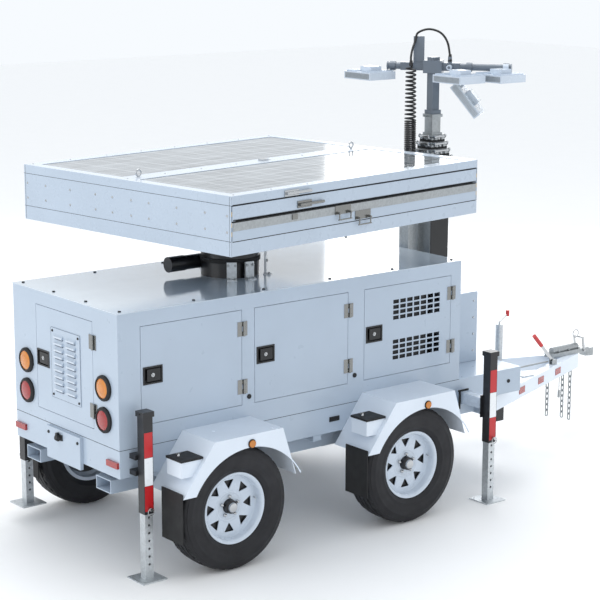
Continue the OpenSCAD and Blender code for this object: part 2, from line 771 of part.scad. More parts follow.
module solar_frame() color("aliceblue") at_box() {
    difference() {
        block(-half_l, half_l, -half_w, half_w, box_z, slot_top);
        block(-half_l + sheet, half_l - sheet, -half_w - 1, half_w + 1, slot_low, slot_top + 1);
        block(-half_l + sheet, half_l - sheet, -half_w + sheet, half_w - sheet, box_z + sheet, slot_low + 1);
    }
    // top: a sheet with two windows, folded down round its edge and round each window
    translate([0, 0, box_top - sheet]) linear_extrude(height = sheet) difference() {
        box_plan(0);
        window_plan(0);
    }
    translate([0, 0, slot_top]) linear_extrude(height = frame_h) {
        difference() {
            box_plan(0);
            box_plan(sheet);
        }
        difference() {
            window_plan(sheet);
            window_plan(0);
        }
    }
    translate([0, 0, slot_top]) linear_extrude(height = sheet) difference() {
        window_plan(sheet);
        window_plan(-16);
    }
    // runners that the trays slide on
    for (m = SIDES, z = [slot_low, tray_split + 4]) mirror([m < 0 ? 1 : 0, 0, 0])
        block(half_l - sheet - runner, half_l - sheet, -half_w + sheet, half_w - sheet, z - 4, z);
}

// a framed module: an edge frame with a glass sheet on top, lower face at z0
module pv_module(x0, x1, y0, y1, z0, h) {
    color("#b9c0c6") difference() {
        block(x0, x1, y0, y1, z0, z0 + h - 5);
        block(x0 + 3, x1 - 3, y0 + 3, y1 - 3, z0 + 3, z0 + h);
        block(x0 + 30, x1 - 30, y0 + 30, y1 - 30, z0 - 1, z0 + 4);
    }
    color("#20262c") block(x0, x1, y0, y1, z0 + h - 5, z0 + h);
}

module solar_modules() at_box() for (s = SIDES) mirror([0, s < 0 ? 1 : 0, 0])
    pv_module(-half_l + border + 0.5, half_l - border - 0.5, rib + 0.5, win_y1 - 0.5,
        slot_top + sheet, frame_h - sheet - 3);

// a tray's frame: a ring with two cross bars and a face band on its -y side
module tray_frame(low, h, band_h, back) {
    x = tray_w / 2;
    difference() {
        block(-x, x, -half_w + 4, back, low, low + h);
        for (i = [0:2]) block(-x + 40 + i * (2 * x - 40) / 3, -x + i * (2 * x - 40) / 3 + (2 * x - 40) / 3,
            -half_w + 50, back - 40, low - 1, low + h + 1);
    }
    block(-x, x, -half_w, -half_w + 4, low, low + band_h);
}

module pull_handle(a, z) translate([a, -half_w, z]) color("silver") {
    block(-64, 64, -4, 0, 0, 50);
    for (s = SIDES) block(s * 46 - 6, s * 46 + 6, -14, -4, 4, 16);
    for (s = SIDES) rod(4, [s * 46, -20, -28], "z", 38);
    for (s = SIDES) rod(6, [s * 46, -26, 8], "y", 12);
    rod(4, [-54, -20, -28], "x", 108);
}

band_low = 57;
band_up = 76;
tray_bar = 14;
module tray_lower() at_box() {
    low = slot_low + slide_gap;
    x = tray_w / 2;
    color("aliceblue") tray_frame(low, tray_bar, band_low, half_w - 15);
    color("aliceblue") for (s = SIDES) block(s * (x - 20) - 20, s * (x - 20) + 20, -half_w + 4, half_w - 15,
        low + tray_bar, low + band_low);
    pv_module(-x, x, -half_w + 1, half_w - 15, low + band_low, tray_split - 6 - low - band_low);
    pull_handle(-165, slot_low + 52);
    pull_handle(0, slot_low + 6);
    color("silver") block(-570, -530, -half_w - 6, -half_w + 1, slot_low + 66, slot_low + 96);
}

module tray_upper() at_box() mirror([0, 1, 0]) {
    low = tray_split + 4 + slide_gap;
    x = tray_w / 2;
    color("aliceblue") {
        tray_frame(low, tray_bar, band_up, half_w - 4);
        block(-x, x, half_w - 4, half_w, low, low + band_up);
    }
    pv_module(-x + 1, x - 1, -half_w + 5, half_w - 5, low + tray_bar, band_up - tray_bar - 2);
    for (a = [-165, 0]) pull_handle(a, low + 20);
    color("silver") {
        block(-530, -420, half_w, half_w + 6, low + 14, low + 52);
        rod(8, [-520, half_w + 12, low + 32], "x", 190);
    }
}

module solar_hardware() at_box() {
    color("goldenrod") for (m = SIDES, s = SIDES, z = [slot_low + 40, slot_low + 88, tray_split + 40])
        translate([m * (half_l - sheet), s * half_w, 0])
            block(m > 0 ? -4 : 0, m > 0 ? 0 : 4, s > 0 ? -20 : 1, s > 0 ? -1 : 20, z - 12, z + 12);
    color("silver") {
        block(-630, -520, -half_w - 6, -half_w, slot_top + 6, slot_top + 40);
        rod(8, [-620, -half_w - 12, slot_top + 22], "x", 190);
        for (a = [-900, 860]) translate([a, 0, box_top + 24]) {
            rotate([90, 0, 0]) rotate_extrude() translate([18, 0]) circle(r = 5);
            rod(9, [0, 0, -24], "z", 8);
        }
        block(60, 110, -20, 20, box_top, box_top + 10);
    }
}

// ---- mast -------------------------------------------------------------------

module mast_housing() color("aliceblue") translate([cab_front, 0, 0]) {
    depth = 438;
    high = seam_z + 462;
    gap = mast_s / 2 + 2;
    mid = mast_x - cab_front;
    difference() {
        block(0, depth, -255, 255, seam_z, high);
        block(sheet, depth - sheet, -255 + sheet, 255 - sheet, seam_z - 1, high - sheet);
        block(mid - gap, mid + gap, -gap, gap, high - sheet - 1, high + 1);
        block(cord_x - cab_front - 46, mid, cord_y - 46, cord_y + 46, high - sheet - 1, high + 1);
    }
}

// a collar round a tube's top, with a lip inside that guides the next stage
module collar(size, z) difference() {
    bore = size / 2 - mast_step / 2 + slide_gap;
    union() {
        block(-size / 2 - 9, size / 2 + 9, -size / 2 - 9, size / 2 + 9, z, z + collar_h);
        for (a = [0:90:270], o = SIDES) rotate([0, 0, a])
            rod(8, [o * size / 4, size / 2 + 4, z + collar_h / 2], "y", 18);
    }
    block(-bore, bore, -bore, bore, z - 1, z + collar_h + 1);
}

// wear pads round a stage's foot, running in the tube of the given size
module foot_pads(outer_size) {
    size = outer_size - 2 * mast_wall - 2 * slide_gap;
    square_tube(size, mast_step / 2 - mast_wall + 1, stage_low, stage_low + 100);
}

module at_mast() translate([mast_x, 0, 0]) children();

function stage_s(i) = mast_s - i * mast_step;
function collar_z(i) = mast_top_z - collar_h + i * (collar_h + collar_gap);

module mast_base() {
    color("lightgray") at_mast() {
        square_tube(mast_s, mast_wall, seam_z, mast_top_z);
        collar(mast_s, mast_top_z - collar_h);
    }
    color("#17181a") at_mast()
        block(-mast_s / 2 + 4, mast_s / 2 - 4, -mast_s / 2 - 4, -mast_s / 2, seam_z + 500, mast_top_z - 60);
    color("lightgray") {
        translate([cord_x, cord_y, 0]) {
            square_tube(2 * coil_r + 8, 3, seam_z, tube_top);
            block(-coil_r, coil_r, -coil_r, coil_r, tube_top - 6, tube_top);
        }
        for (z = [1300, 1900]) block(cord_x + coil_r + 4, mast_x - mast_s / 2, 10, 50, z, z + 30);
    }
    color("gray") {
        block(1640, 1720, -130, 130, seam_z, seam_z + 60);
        rod(40, [1680, -110, seam_z + 100], "y", 220);
    }
}

module mast_stage(i) color("lightgray") at_mast() {
    s = stage_s(i);
    top = collar_z(i) + collar_h;
    square_tube(s, mast_wall, stage_low, top);
    collar(s, top - collar_h + collar_gap);
    foot_pads(stage_s(i - 1));
}

top_s = stage_s(4);
module mast_top() color("lightgray") at_mast() {
    half = top_s / 2;
    square_tube(top_s, mast_wall, stage_low, head_low);
    foot_pads(stage_s(3));
    difference() {
        union() {
            block(-half - 9, half + 9, -half - 9, half + 9, head_low - 20, head_low);
            block(-half - 8, half + 8, -half - 8, half + 8,
                collar_z(3) + collar_h + 2 * collar_gap, collar_z(3) + collar_h + 14);
        }
        block(-half + 2, half - 2, -half + 2, half - 2, collar_z(3), head_low + 1);
    }
    for (m = SIDES) rod(6, [m > 0 ? half + 8 : -half - 38, 0, head_low - 10], "x", 30);
}

// reach of the crossbar to each side, and of its square middle part
left_arm = 300;
right_arm = 500;
square_arm = 170;
pivot_r = 22;
module at_bar() translate([mast_x, 0, bar_z]) rotate([0, 0, bar_angle]) children();

module mast_head() {
    low = head_low + slide_gap;
    color("#8f979c") {
        at_mast() difference() {
            union() {
                block(-head_s / 2 - 9, head_s / 2 + 9, -head_s / 2 - 9, head_s / 2 + 9, low, low + 26);
                block(-head_s / 2, head_s / 2, -head_s / 2, head_s / 2, low + 20, bar_z + 60);
            }
            block(-head_s / 2 + 4, head_s / 2 - 4, -head_s / 2 + 4, head_s / 2 - 4, low + 8, bar_z - 45);
        }
        at_bar() {
            block(-square_arm, square_arm + 40, -25, 25, -25, 25);
            block(-60, 60, -48, 48, -40, 40);
            rod(pivot_r, [-right_arm, 0, 0], "x", right_arm + left_arm);
            for (d = [-right_arm, left_arm - 8]) rod(27, [d, 0, 0], "x", 8);
            rod(13, [-105, 0, 25], "z", 39);
            block(60, 130, -4, 4, 20, 190);
            rod(16, [-110, 25, 0], "y", 14);
            rod(9, [-110, 39, 0], "y", 34);
        }
    }
    color("#17181a") cable_tube(head_route, 6.5, 8);
}

// route of the cable over the head, from the curly cord's top to the head's gland
head_route = [[1400, 47, 2656], [1401, 50, 2700], [1430, 68, 2750], [1469, 85, 2800], [1482, 76, 2848],
    [1525, 20, 2872], [1572, -38, 2850], [1603, -70, 2790], [1615, -83, 2700]];

function unit(v) = v / norm(v);
function tangent(p, i) = unit(p[min(i + 1, len(p) - 1)] - p[max(i - 1, 0)]);
function bezier(a, b, c, d, t) = pow(1 - t, 3) * a + 3 * t * pow(1 - t, 2) * b + 3 * t * t * (1 - t) * c + pow(t, 3) * d;
function smooth(p, n) = [
    for (i = [0:len(p) - 2], k = [0:n - 1])
        let (m0 = (p[i + 1] - p[max(i - 1, 0)]) / 6, m1 = (p[min(i + 2, len(p) - 1)] - p[i]) / 6)
        bezier(p[i], p[i] + m0, p[i + 1] - m1, p[i + 1], k / n),
    p[len(p) - 1]];

module cable_tube(route, r, sides) {
    line = smooth(route, 4);
    n = len(line);
    rings = [for (i = [0:n - 1])
        let (t = tangent(line, i), u = unit(cross(t, [0.6, -0.8, 0.02])), v = cross(t, u))
        for (k = [0:sides - 1]) line[i] + r * (cos(k * 360 / sides) * u + sin(k * 360 / sides) * v)];
    faces = [
        [for (k = [0:sides - 1]) k],
        for (i = [0:n - 2], k = [0:sides - 1])
            [i * sides + k, (i + 1) * sides + k, (i + 1) * sides + (k + 1) % sides, i * sides + (k + 1) % sides],
        [for (k = [0:sides - 1]) (n - 1) * sides + sides - 1 - k]];
    polyhedron(points = rings, faces = faces);
}

// a floodlight lying flat, its top at the origin
lamp_h = 48;
module lamp() {
    x = lamp_len / 2;
    y = lamp_w / 2;
    color("white") difference() {
        block(-x, x, -y, y, -lamp_h, 0);
        block(-x + 12, x - 12, -y + 12, y - 12, -lamp_h - 1, -lamp_h + 12);
    }
    color("lightyellow") block(-x + 12.3, x - 12.3, -y + 12.3, y - 12.3, -lamp_h + 2, -lamp_h + 11.7);
    color("whitesmoke") block(-60, 40, -45, 45, 0, 32);
}

// a ring round the crossbar, the lamp's hinge
module lamp_ring(d) difference() {
    rod(pivot_r + 8, [d - 18, 0, 0], "x", 36);
    rod(pivot_r + hub_bore_gap, [d - 19, 0, 0], "x", 38);
}

// a lamp beside the crossbar: its ring's place on the bar and its centre, in the bar's frame
module bar_lamp(d, centre) at_bar() {
    top = -pivot_r - 8;
    reach = centre[1] - 10;
    color("gray") {
        lamp_ring(d);
        block(d - 12, d + 12, 0, max(reach, 40), top, -pivot_r - hub_bore_gap);
        block(min(d, centre[0]) - 12, max(d, centre[0]) + 12, reach - 14, reach + 14,
            top, -pivot_r - hub_bore_gap);
    }
    translate([centre[0], centre[1], top]) rotate([0, 0, 90 - bar_angle]) lamp();
}

module lamp_left() bar_lamp(262, [395, 92]);
module lamp_near() bar_lamp(-230, [-200, 235]);
module lamp_right() bar_lamp(-465, [-434, 90]);

// the fourth lamp hangs from its own pivot, turned down about it
down_at = [-110, 56, 0];
down_tilt = 51;
module lamp_down() at_bar() translate(down_at) rotate([0, -down_tilt, 0]) {
    color("gray") {
        difference() {
            rod(17, [0, -16, 0], "y", 32);
            rod(9 + hub_bore_gap, [0, -17, 0], "y", 34);
        }
        block(-150, -15, -14, 14, -8, 6);
    }
    translate([-230, 0, -8]) lamp();
}

module curly_cord() color("#17181a")
    rod(coil_r, [cord_x, cord_y, tube_top + 0.3], "z", coil_top - tube_top - 0.3);

// ---- every node -------------------------------------------------------------

row() base_frame();
row() chassis_rails();
row() axles();
row() drawbar();
row() coupler();
row() coupler_latch();
row() handbrake_lever();
row() safety_chains();
row() tongue_jack_tube();
row() tongue_jack_leg();
row() tongue_jack_crank();
row() cabinet_shell();
row() cabinet_roof();
row() door_hinges();
row() rear_door();
for (d = SIDE_DOORS) row() side_door(d);
row() marker_lamps();
row() black_trim();
row() mudflaps();
row() fenders();
for (w = [["rr", -1, 0], ["rl", 1, 0], ["fr", -1, 1], ["fl", 1, 1]]) {
    row() tyre(w[1], AXLES[w[2]]);
    row() wheel(w[1], AXLES[w[2]]);
    row() leg_at(w[2] == 1, w[1], w[0] == "rl" ? raised_foot : 0);
}
row() rear_jack_tubes();
row() outrigger(-1);  // outrigger_r
row() outrigger(1);  // outrigger_l
row() battery_and_inverter();
row() generator_set();
row() slew_base();
row() slew_frame();
row() solar_frame();
row() solar_modules();
row() tray_lower();
row() tray_upper();
row() solar_hardware();
row() mast_housing();
row() mast_base();
for (i = [1:3]) row() mast_stage(i);
row() mast_top();
row() mast_head();
row() lamp_left();
row() lamp_near();
row() lamp_right();
row() lamp_down();
row() curly_cord();
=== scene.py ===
"""Looks of a towable solar light tower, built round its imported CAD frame.

Lengths are metres in the row frame: +X to the hitch, +Y to the vehicle's left, +Z up.
"""

import json
from math import asin, atan2, cos, pi, radians, sin

import bmesh
import bpy
import numpy as np
from mathutils import Matrix, Vector


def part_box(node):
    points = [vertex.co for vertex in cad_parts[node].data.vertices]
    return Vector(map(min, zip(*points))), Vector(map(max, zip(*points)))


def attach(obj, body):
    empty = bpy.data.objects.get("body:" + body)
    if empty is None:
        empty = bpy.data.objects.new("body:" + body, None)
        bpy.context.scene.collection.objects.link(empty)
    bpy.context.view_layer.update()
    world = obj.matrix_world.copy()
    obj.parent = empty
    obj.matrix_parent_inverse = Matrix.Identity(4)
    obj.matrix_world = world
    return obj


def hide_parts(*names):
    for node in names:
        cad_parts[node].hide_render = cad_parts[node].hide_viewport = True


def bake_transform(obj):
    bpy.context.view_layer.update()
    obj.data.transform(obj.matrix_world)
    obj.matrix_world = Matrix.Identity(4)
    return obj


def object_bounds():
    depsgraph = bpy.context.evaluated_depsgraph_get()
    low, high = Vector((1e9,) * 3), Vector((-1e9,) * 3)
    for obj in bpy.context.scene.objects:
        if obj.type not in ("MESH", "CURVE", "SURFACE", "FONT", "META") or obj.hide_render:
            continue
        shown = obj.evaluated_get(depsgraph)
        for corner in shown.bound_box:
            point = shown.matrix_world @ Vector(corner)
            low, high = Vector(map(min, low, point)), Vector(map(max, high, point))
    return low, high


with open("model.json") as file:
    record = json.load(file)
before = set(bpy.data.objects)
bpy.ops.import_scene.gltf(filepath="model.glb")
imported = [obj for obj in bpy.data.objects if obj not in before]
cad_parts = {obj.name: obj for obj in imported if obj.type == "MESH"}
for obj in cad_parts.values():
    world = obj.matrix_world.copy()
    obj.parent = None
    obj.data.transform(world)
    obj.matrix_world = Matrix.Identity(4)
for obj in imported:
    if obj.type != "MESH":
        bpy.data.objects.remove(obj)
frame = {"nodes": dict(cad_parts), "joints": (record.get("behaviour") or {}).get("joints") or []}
SCENE = bpy.context.scene
move = Matrix.Translation
CAD_BOX = [list(corner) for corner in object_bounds()]
JOINTS = {joint["name"]: joint for joint in frame["joints"]}
SIDES = (-1, 1)
SHELL_LOW, SHELL_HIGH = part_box("cabinet_shell")
WHEELS = ("rr", "rl", "fr", "fl")


# ---- camera and light ----

CAMERA_AT = (-7.341, -8.591, 3.601)
CAMERA_AZIMUTH = radians(38.64)
CAMERA_DOWN = radians(12.04)
CAMERA_ROLL = radians(0.13)
CAMERA_LENS = 109.3


def add_object(name, data):
    """An object in the scene for a mesh, a curve, a light or a camera."""
    thing = bpy.data.objects.new(name, data)
    SCENE.collection.objects.link(thing)
    return thing


def add_camera():
    """A long lens at the viewpoint, with no shift and no depth of field."""
    level = cos(CAMERA_DOWN)
    look = Vector((
        sin(CAMERA_AZIMUTH) * level, cos(CAMERA_AZIMUTH) * level, -sin(CAMERA_DOWN)))
    data = bpy.data.cameras.new("camera")
    data.lens = CAMERA_LENS
    data.sensor_width = 36
    camera = add_object("camera", data)
    turn = look.to_track_quat("-Z", "Y").to_matrix().to_4x4() @ Matrix.Rotation(CAMERA_ROLL, 4, "Z")
    camera.matrix_world = move(CAMERA_AT) @ turn
    SCENE.camera = camera


def add_area(name, at, target, size, power):
    """A square soft box at one place, aimed at another, and out of the camera's sight."""
    data = bpy.data.lights.new(name, "AREA")
    data.energy = power
    data.size = size
    lamp = add_object(name, data)
    aim = (Vector(target) - Vector(at)).to_track_quat("-Z", "Y").to_matrix().to_4x4()
    lamp.matrix_world = move(at) @ aim
    lamp.visible_camera = False


def add_studio():
    """A pale floor, an even pale sky and three soft boxes. The roof and glass mirror one."""
    SCENE.view_settings.view_transform = "Standard"
    world = bpy.data.worlds.new("studio")
    SCENE.world = world
    world.use_nodes = True
    sky = world.node_tree.nodes["Background"]
    sky.inputs["Color"].default_value = (0.93, 0.965, 1.0, 1)
    sky.inputs["Strength"].default_value = 1.0
    add_area("key_light", (1.0, 2.0, 9.0), (0, 0, 1), 6.0, 330)
    add_area("fill_light", (-9.0, 1.0, 4.0), (0, 0, 1), 5.0, 100)
    add_area("glare_light", (7.4, 6.2, 3.1), (0, 0, 1.5), 4.0, 120)
    bpy.ops.mesh.primitive_plane_add(size=60, location=(0, 0, CAD_BOX[0][2]))
    floor = bpy.context.object
    floor.name = "floor"
    floor.data.materials.append(MATERIALS["floor"])


# ---- materials ----

MATERIALS = {}


def new_shader(name, colour, roughness, metallic=0.0, coat=0.0):
    """A Principled material with its node tree, its shader and its object coordinates."""
    material = bpy.data.materials.new(name)
    material.use_nodes = True
    tree = material.node_tree
    shader = tree.nodes["Principled BSDF"]
    shader.inputs["Base Color"].default_value = (*colour, 1)
    shader.inputs["Roughness"].default_value = roughness
    shader.inputs["Metallic"].default_value = metallic
    shader.inputs["Coat Weight"].default_value = coat
    shader.inputs["Coat Roughness"].default_value = 0.08
    place = tree.nodes.new("ShaderNodeTexCoord")
    MATERIALS[name] = material
    return tree, shader, place.outputs["Object"]


def add_node(tree, kind, **settings):
    """One node with its properties and plain input values set by name."""
    node = tree.nodes.new(kind)
    for key, value in settings.items():
        if hasattr(node, key):
            setattr(node, key, value)
        else:
            node.inputs[key.replace("_", " ").title()].default_value = value
    return node


def noise(tree, place, scale, detail=4):
    """The value of a noise field over the object."""
    node = add_node(tree, "ShaderNodeTexNoise", Scale=scale, Detail=detail)
    tree.links.new(place, node.inputs["Vector"])
    return node.outputs["Fac"]


def mix(tree, factor, low, high):
    """A colour that runs from low to high with a factor."""
    ramp = tree.nodes.new("ShaderNodeValToRGB")
    ramp.color_ramp.elements[0].color = (*low, 1)
    ramp.color_ramp.elements[1].color = (*high, 1)
    ramp.color_ramp.elements[0].position = 0.3
    ramp.color_ramp.elements[1].position = 0.7
    tree.links.new(factor, ramp.inputs["Fac"])
    return ramp.outputs["Color"]


def span(tree, factor, low, high):
    """A number that runs from low to high with a factor of 0 to 1."""
    node = tree.nodes.new("ShaderNodeMapRange")
    node.inputs["To Min"].default_value = low
    node.inputs["To Max"].default_value = high
    tree.links.new(factor, node.inputs["Value"])
    return node.outputs["Result"]


def bump(tree, shader, height, strength, distance):
    """Small relief on a shader."""
    node = add_node(tree, "ShaderNodeBump", Strength=strength, Distance=distance)
    tree.links.new(height, node.inputs["Height"])
    tree.links.new(node.outputs["Normal"], shader.inputs["Normal"])


def shade(colour, gain):
    """A colour made lighter or darker."""
    return tuple(min(1.0, channel * gain) for channel in colour)


def coated(name, colour, roughness, coat=0.3, vary=0.05, peel=500, depth=0.0002):
    """Paint, powder coat, rubber or plastic: faint colour drift, uneven gloss and a fine skin."""
    tree, shader, place = new_shader(name, colour, roughness, 0.0, coat)
    drift = mix(tree, noise(tree, place, 3.0), shade(colour, 1 - vary), shade(colour, 1 + vary))
    tree.links.new(drift, shader.inputs["Base Color"])
    smear = noise(tree, place, 17.0, 6)
    tree.links.new(span(tree, smear, roughness * 0.75, roughness * 1.3), shader.inputs["Roughness"])
    bump(tree, shader, noise(tree, place, peel, 2), 0.25, depth)


def zinc(name, colour, spangle):
    """Hot-dip galvanised steel: crystals of uneven brightness and a dull sheen."""
    tree, shader, place = new_shader(name, colour, 0.42, 0.85)
    cells = add_node(tree, "ShaderNodeTexVoronoi", Scale=spangle)
    tree.links.new(place, cells.inputs["Vector"])
    grey = tree.nodes.new("ShaderNodeRGBToBW")
    tree.links.new(cells.outputs["Color"], grey.inputs["Color"])
    tone = mix(tree, grey.outputs["Val"], shade(colour, 0.93), shade(colour, 1.05))
    tree.links.new(tone, shader.inputs["Base Color"])
    tree.links.new(span(tree, noise(tree, place, 30), 0.34, 0.48), shader.inputs["Roughness"])
    bump(tree, shader, noise(tree, place, 260, 3), 0.12, 0.0002)


def polished(name, colour, roughness):
    """Bright metal with fine drawn lines along Z and uneven gloss."""
    tree, shader, place = new_shader(name, colour, roughness, 1.0)
    stretch = tree.nodes.new("ShaderNodeMapping")
    stretch.inputs["Scale"].default_value = (1, 1, 0.04)
    tree.links.new(place, stretch.inputs["Vector"])
    lines = noise(tree, stretch.outputs["Vector"], 900, 3)
    tree.links.new(span(tree, lines, roughness * 0.7, roughness * 1.5), shader.inputs["Roughness"])
    bump(tree, shader, lines, 0.08, 0.0001)


def lens(name, colour):
    """A clear moulded lens with a grid of small prisms."""
    tree, shader, place = new_shader(name, colour, 0.16, 0.0, 0.6)
    shader.inputs["Subsurface Weight"].default_value = 0.15
    shader.inputs["Subsurface Radius"].default_value = (0.01, 0.003, 0.002)
    prisms = add_node(tree, "ShaderNodeTexVoronoi", Scale=160)
    prisms.distance = "CHEBYCHEV"
    prisms.inputs["Randomness"].default_value = 0.0
    tree.links.new(place, prisms.inputs["Vector"])
    tone = mix(tree, prisms.outputs["Distance"], shade(colour, 1.2), shade(colour, 0.75))
    tree.links.new(tone, shader.inputs["Base Color"])
    bump(tree, shader, prisms.outputs["Distance"], 0.5, 0.002)


def calculate(tree, operation, left, right):
    """The result of a sum on two sockets or numbers."""
    node = add_node(tree, "ShaderNodeMath", operation=operation)
    for socket, value in zip(node.inputs, (left, right)):
        if isinstance(value, float):
            socket.default_value = value
        else:
            tree.links.new(value, socket)
    return node.outputs[0]


CELL = 0.159


def solar_cells(name, turn):
    """Dark cells with thin pale gaps and bus lines, under glass with long pale streaks of painted sky
    reflection.
    """
    tree, shader, place = new_shader(name, (0.02, 0.025, 0.035), 0.12, 0.0, 0.25)
    align = tree.nodes.new("ShaderNodeMapping")
    align.inputs["Rotation"].default_value = (0, 0, -turn)
    tree.links.new(place, align.inputs["Vector"])
    part = tree.nodes.new("ShaderNodeSeparateXYZ")
    tree.links.new(align.outputs["Vector"], part.inputs["Vector"])
    both = 0.0
    for axis, step, width in (("X", CELL, 0.04), ("Y", CELL, 0.04), ("Y", CELL / 4, 0.05)):
        cell = calculate(tree, "DIVIDE", part.outputs[axis], step)
        line = calculate(tree, "LESS_THAN", calculate(tree, "FRACT", cell, 0.0), width)
        both = calculate(tree, "MAXIMUM", both, line)
    streak = add_node(tree, "ShaderNodeMapping")
    streak.inputs["Scale"].default_value = (2.2, 22, 1)
    tree.links.new(align.outputs["Vector"], streak.inputs["Vector"])
    # The long pale streaks are painted reflection of the sky on the glass.
    painted_reflection = mix(tree, noise(tree, streak.outputs["Vector"], 1.0, 8), (0.02, 0.03, 0.04), (0.26, 0.29, 0.32))
    lines = add_node(tree, "ShaderNodeMix", data_type="RGBA")
    tree.links.new(both, lines.inputs["Factor"])
    tree.links.new(painted_reflection, lines.inputs[6])
    lines.inputs[7].default_value = (0.55, 0.59, 0.62, 1)
    tree.links.new(lines.outputs[2], shader.inputs["Base Color"])
    bump(tree, shader, noise(tree, place, 9), 0.04, 0.002)


def box_turn():
    """The angle that the solar box is slewed to, from the way its trays slide."""
    way = JOINTS["tray_lower_slide"]["axis"]
    return atan2(way[0], -way[1])


def make_materials():
    coated("paint_blue", (0.45, 0.53, 0.63), 0.30, 0.35, vary=0.03)
    coated("paint_white", (0.60, 0.67, 0.76), 0.26, 0.4, vary=0.03)
    # paint_fender_lit: a lighter copy of the white paint, painted light on the fenders, arch lips and
    # drawbar.
    coated("paint_fender_lit", (0.74, 0.81, 0.90), 0.24, 0.4, vary=0.03)
    # paint_box_shaded: a darker copy of the white paint, painted shade on the solar box's sides and the upper
    # tray.
    coated("paint_box_shaded", (0.47, 0.55, 0.65), 0.28, 0.4, vary=0.03)
    coated("paint_roof", (0.56, 0.64, 0.72), 0.07, 0.9, vary=0.05)
    coated("paint_black", (0.008, 0.008, 0.010), 0.38, 0.2, vary=0.2)
    coated("paint_grey", (0.15, 0.18, 0.22), 0.34, 0.3, vary=0.08)
    coated("paint_engine", (0.35, 0.06, 0.04), 0.35, 0.3, vary=0.1)
    coated("paint_inverter", (0.10, 0.22, 0.38), 0.35, 0.3)
    coated("grip_red", (0.55, 0.03, 0.03), 0.40, 0.3, vary=0.1)
    coated("tape_red", (0.52, 0.006, 0.010), 0.34, 0.3, vary=0.06, peel=900)
    coated("tape_white", (0.86, 0.88, 0.90), 0.28, 0.5, vary=0.03, peel=900)
    coated("rubber", (0.008, 0.008, 0.009), 0.62, 0.0, vary=0.25, peel=220, depth=0.0006)
    coated("tyre", (0.009, 0.009, 0.012), 0.62, 0.0, vary=0.25, peel=160, depth=0.0008)
    coated("plastic", (0.008, 0.008, 0.009), 0.42, 0.1, vary=0.2, peel=700)
    coated("cord", (0.006, 0.006, 0.007), 0.36, 0.15, vary=0.2)
    coated("shadow_gap", (0.008, 0.009, 0.011), 0.7, 0.0)
    # louvre_shadow_and_edge: dark strips of painted shadow under the louvres, and the thin dark edge of the
    # louvre panel.
    coated("louvre_shadow_and_edge", (0.14, 0.17, 0.22), 0.6, 0.0)
    coated("gasket", (0.05, 0.06, 0.075), 0.6, 0.0)
    coated("floor", (0.97, 0.97, 0.97), 0.75, 0.0, vary=0.005, peel=40, depth=0.0001)
    coated("led_pane", (0.50, 0.53, 0.46), 0.15, 0.6, vary=0.05)
    zinc("zinc", (0.40, 0.42, 0.43), 90)
    zinc("zinc_pale", (0.58, 0.61, 0.63), 80)
    polished("chrome", (0.52, 0.53, 0.54), 0.14)
    polished("steel_dark", (0.26, 0.26, 0.25), 0.20)
    polished("alloy", (0.80, 0.81, 0.83), 0.30)
    polished("brass", (0.75, 0.52, 0.20), 0.28)
    lens("lens_red", (0.30, 0.008, 0.008))
    lens("lens_amber", (0.58, 0.19, 0.010))
    solar_cells("cells", box_turn())


# ---- helpers for pieces ----

def turned(at, angle, axis="Z"):
    """A local frame at a point, turned about one axis."""
    return move(at) @ Matrix.Rotation(angle, 4, axis)


def round_edges(piece, width, angle):
    """A bevel on the edges that are sharper than an angle in degrees."""
    edge = piece.modifiers.new("edge", "BEVEL")
    edge.width = width
    edge.segments = 2
    edge.limit_method = "ANGLE"
    edge.angle_limit = radians(angle)
    return edge


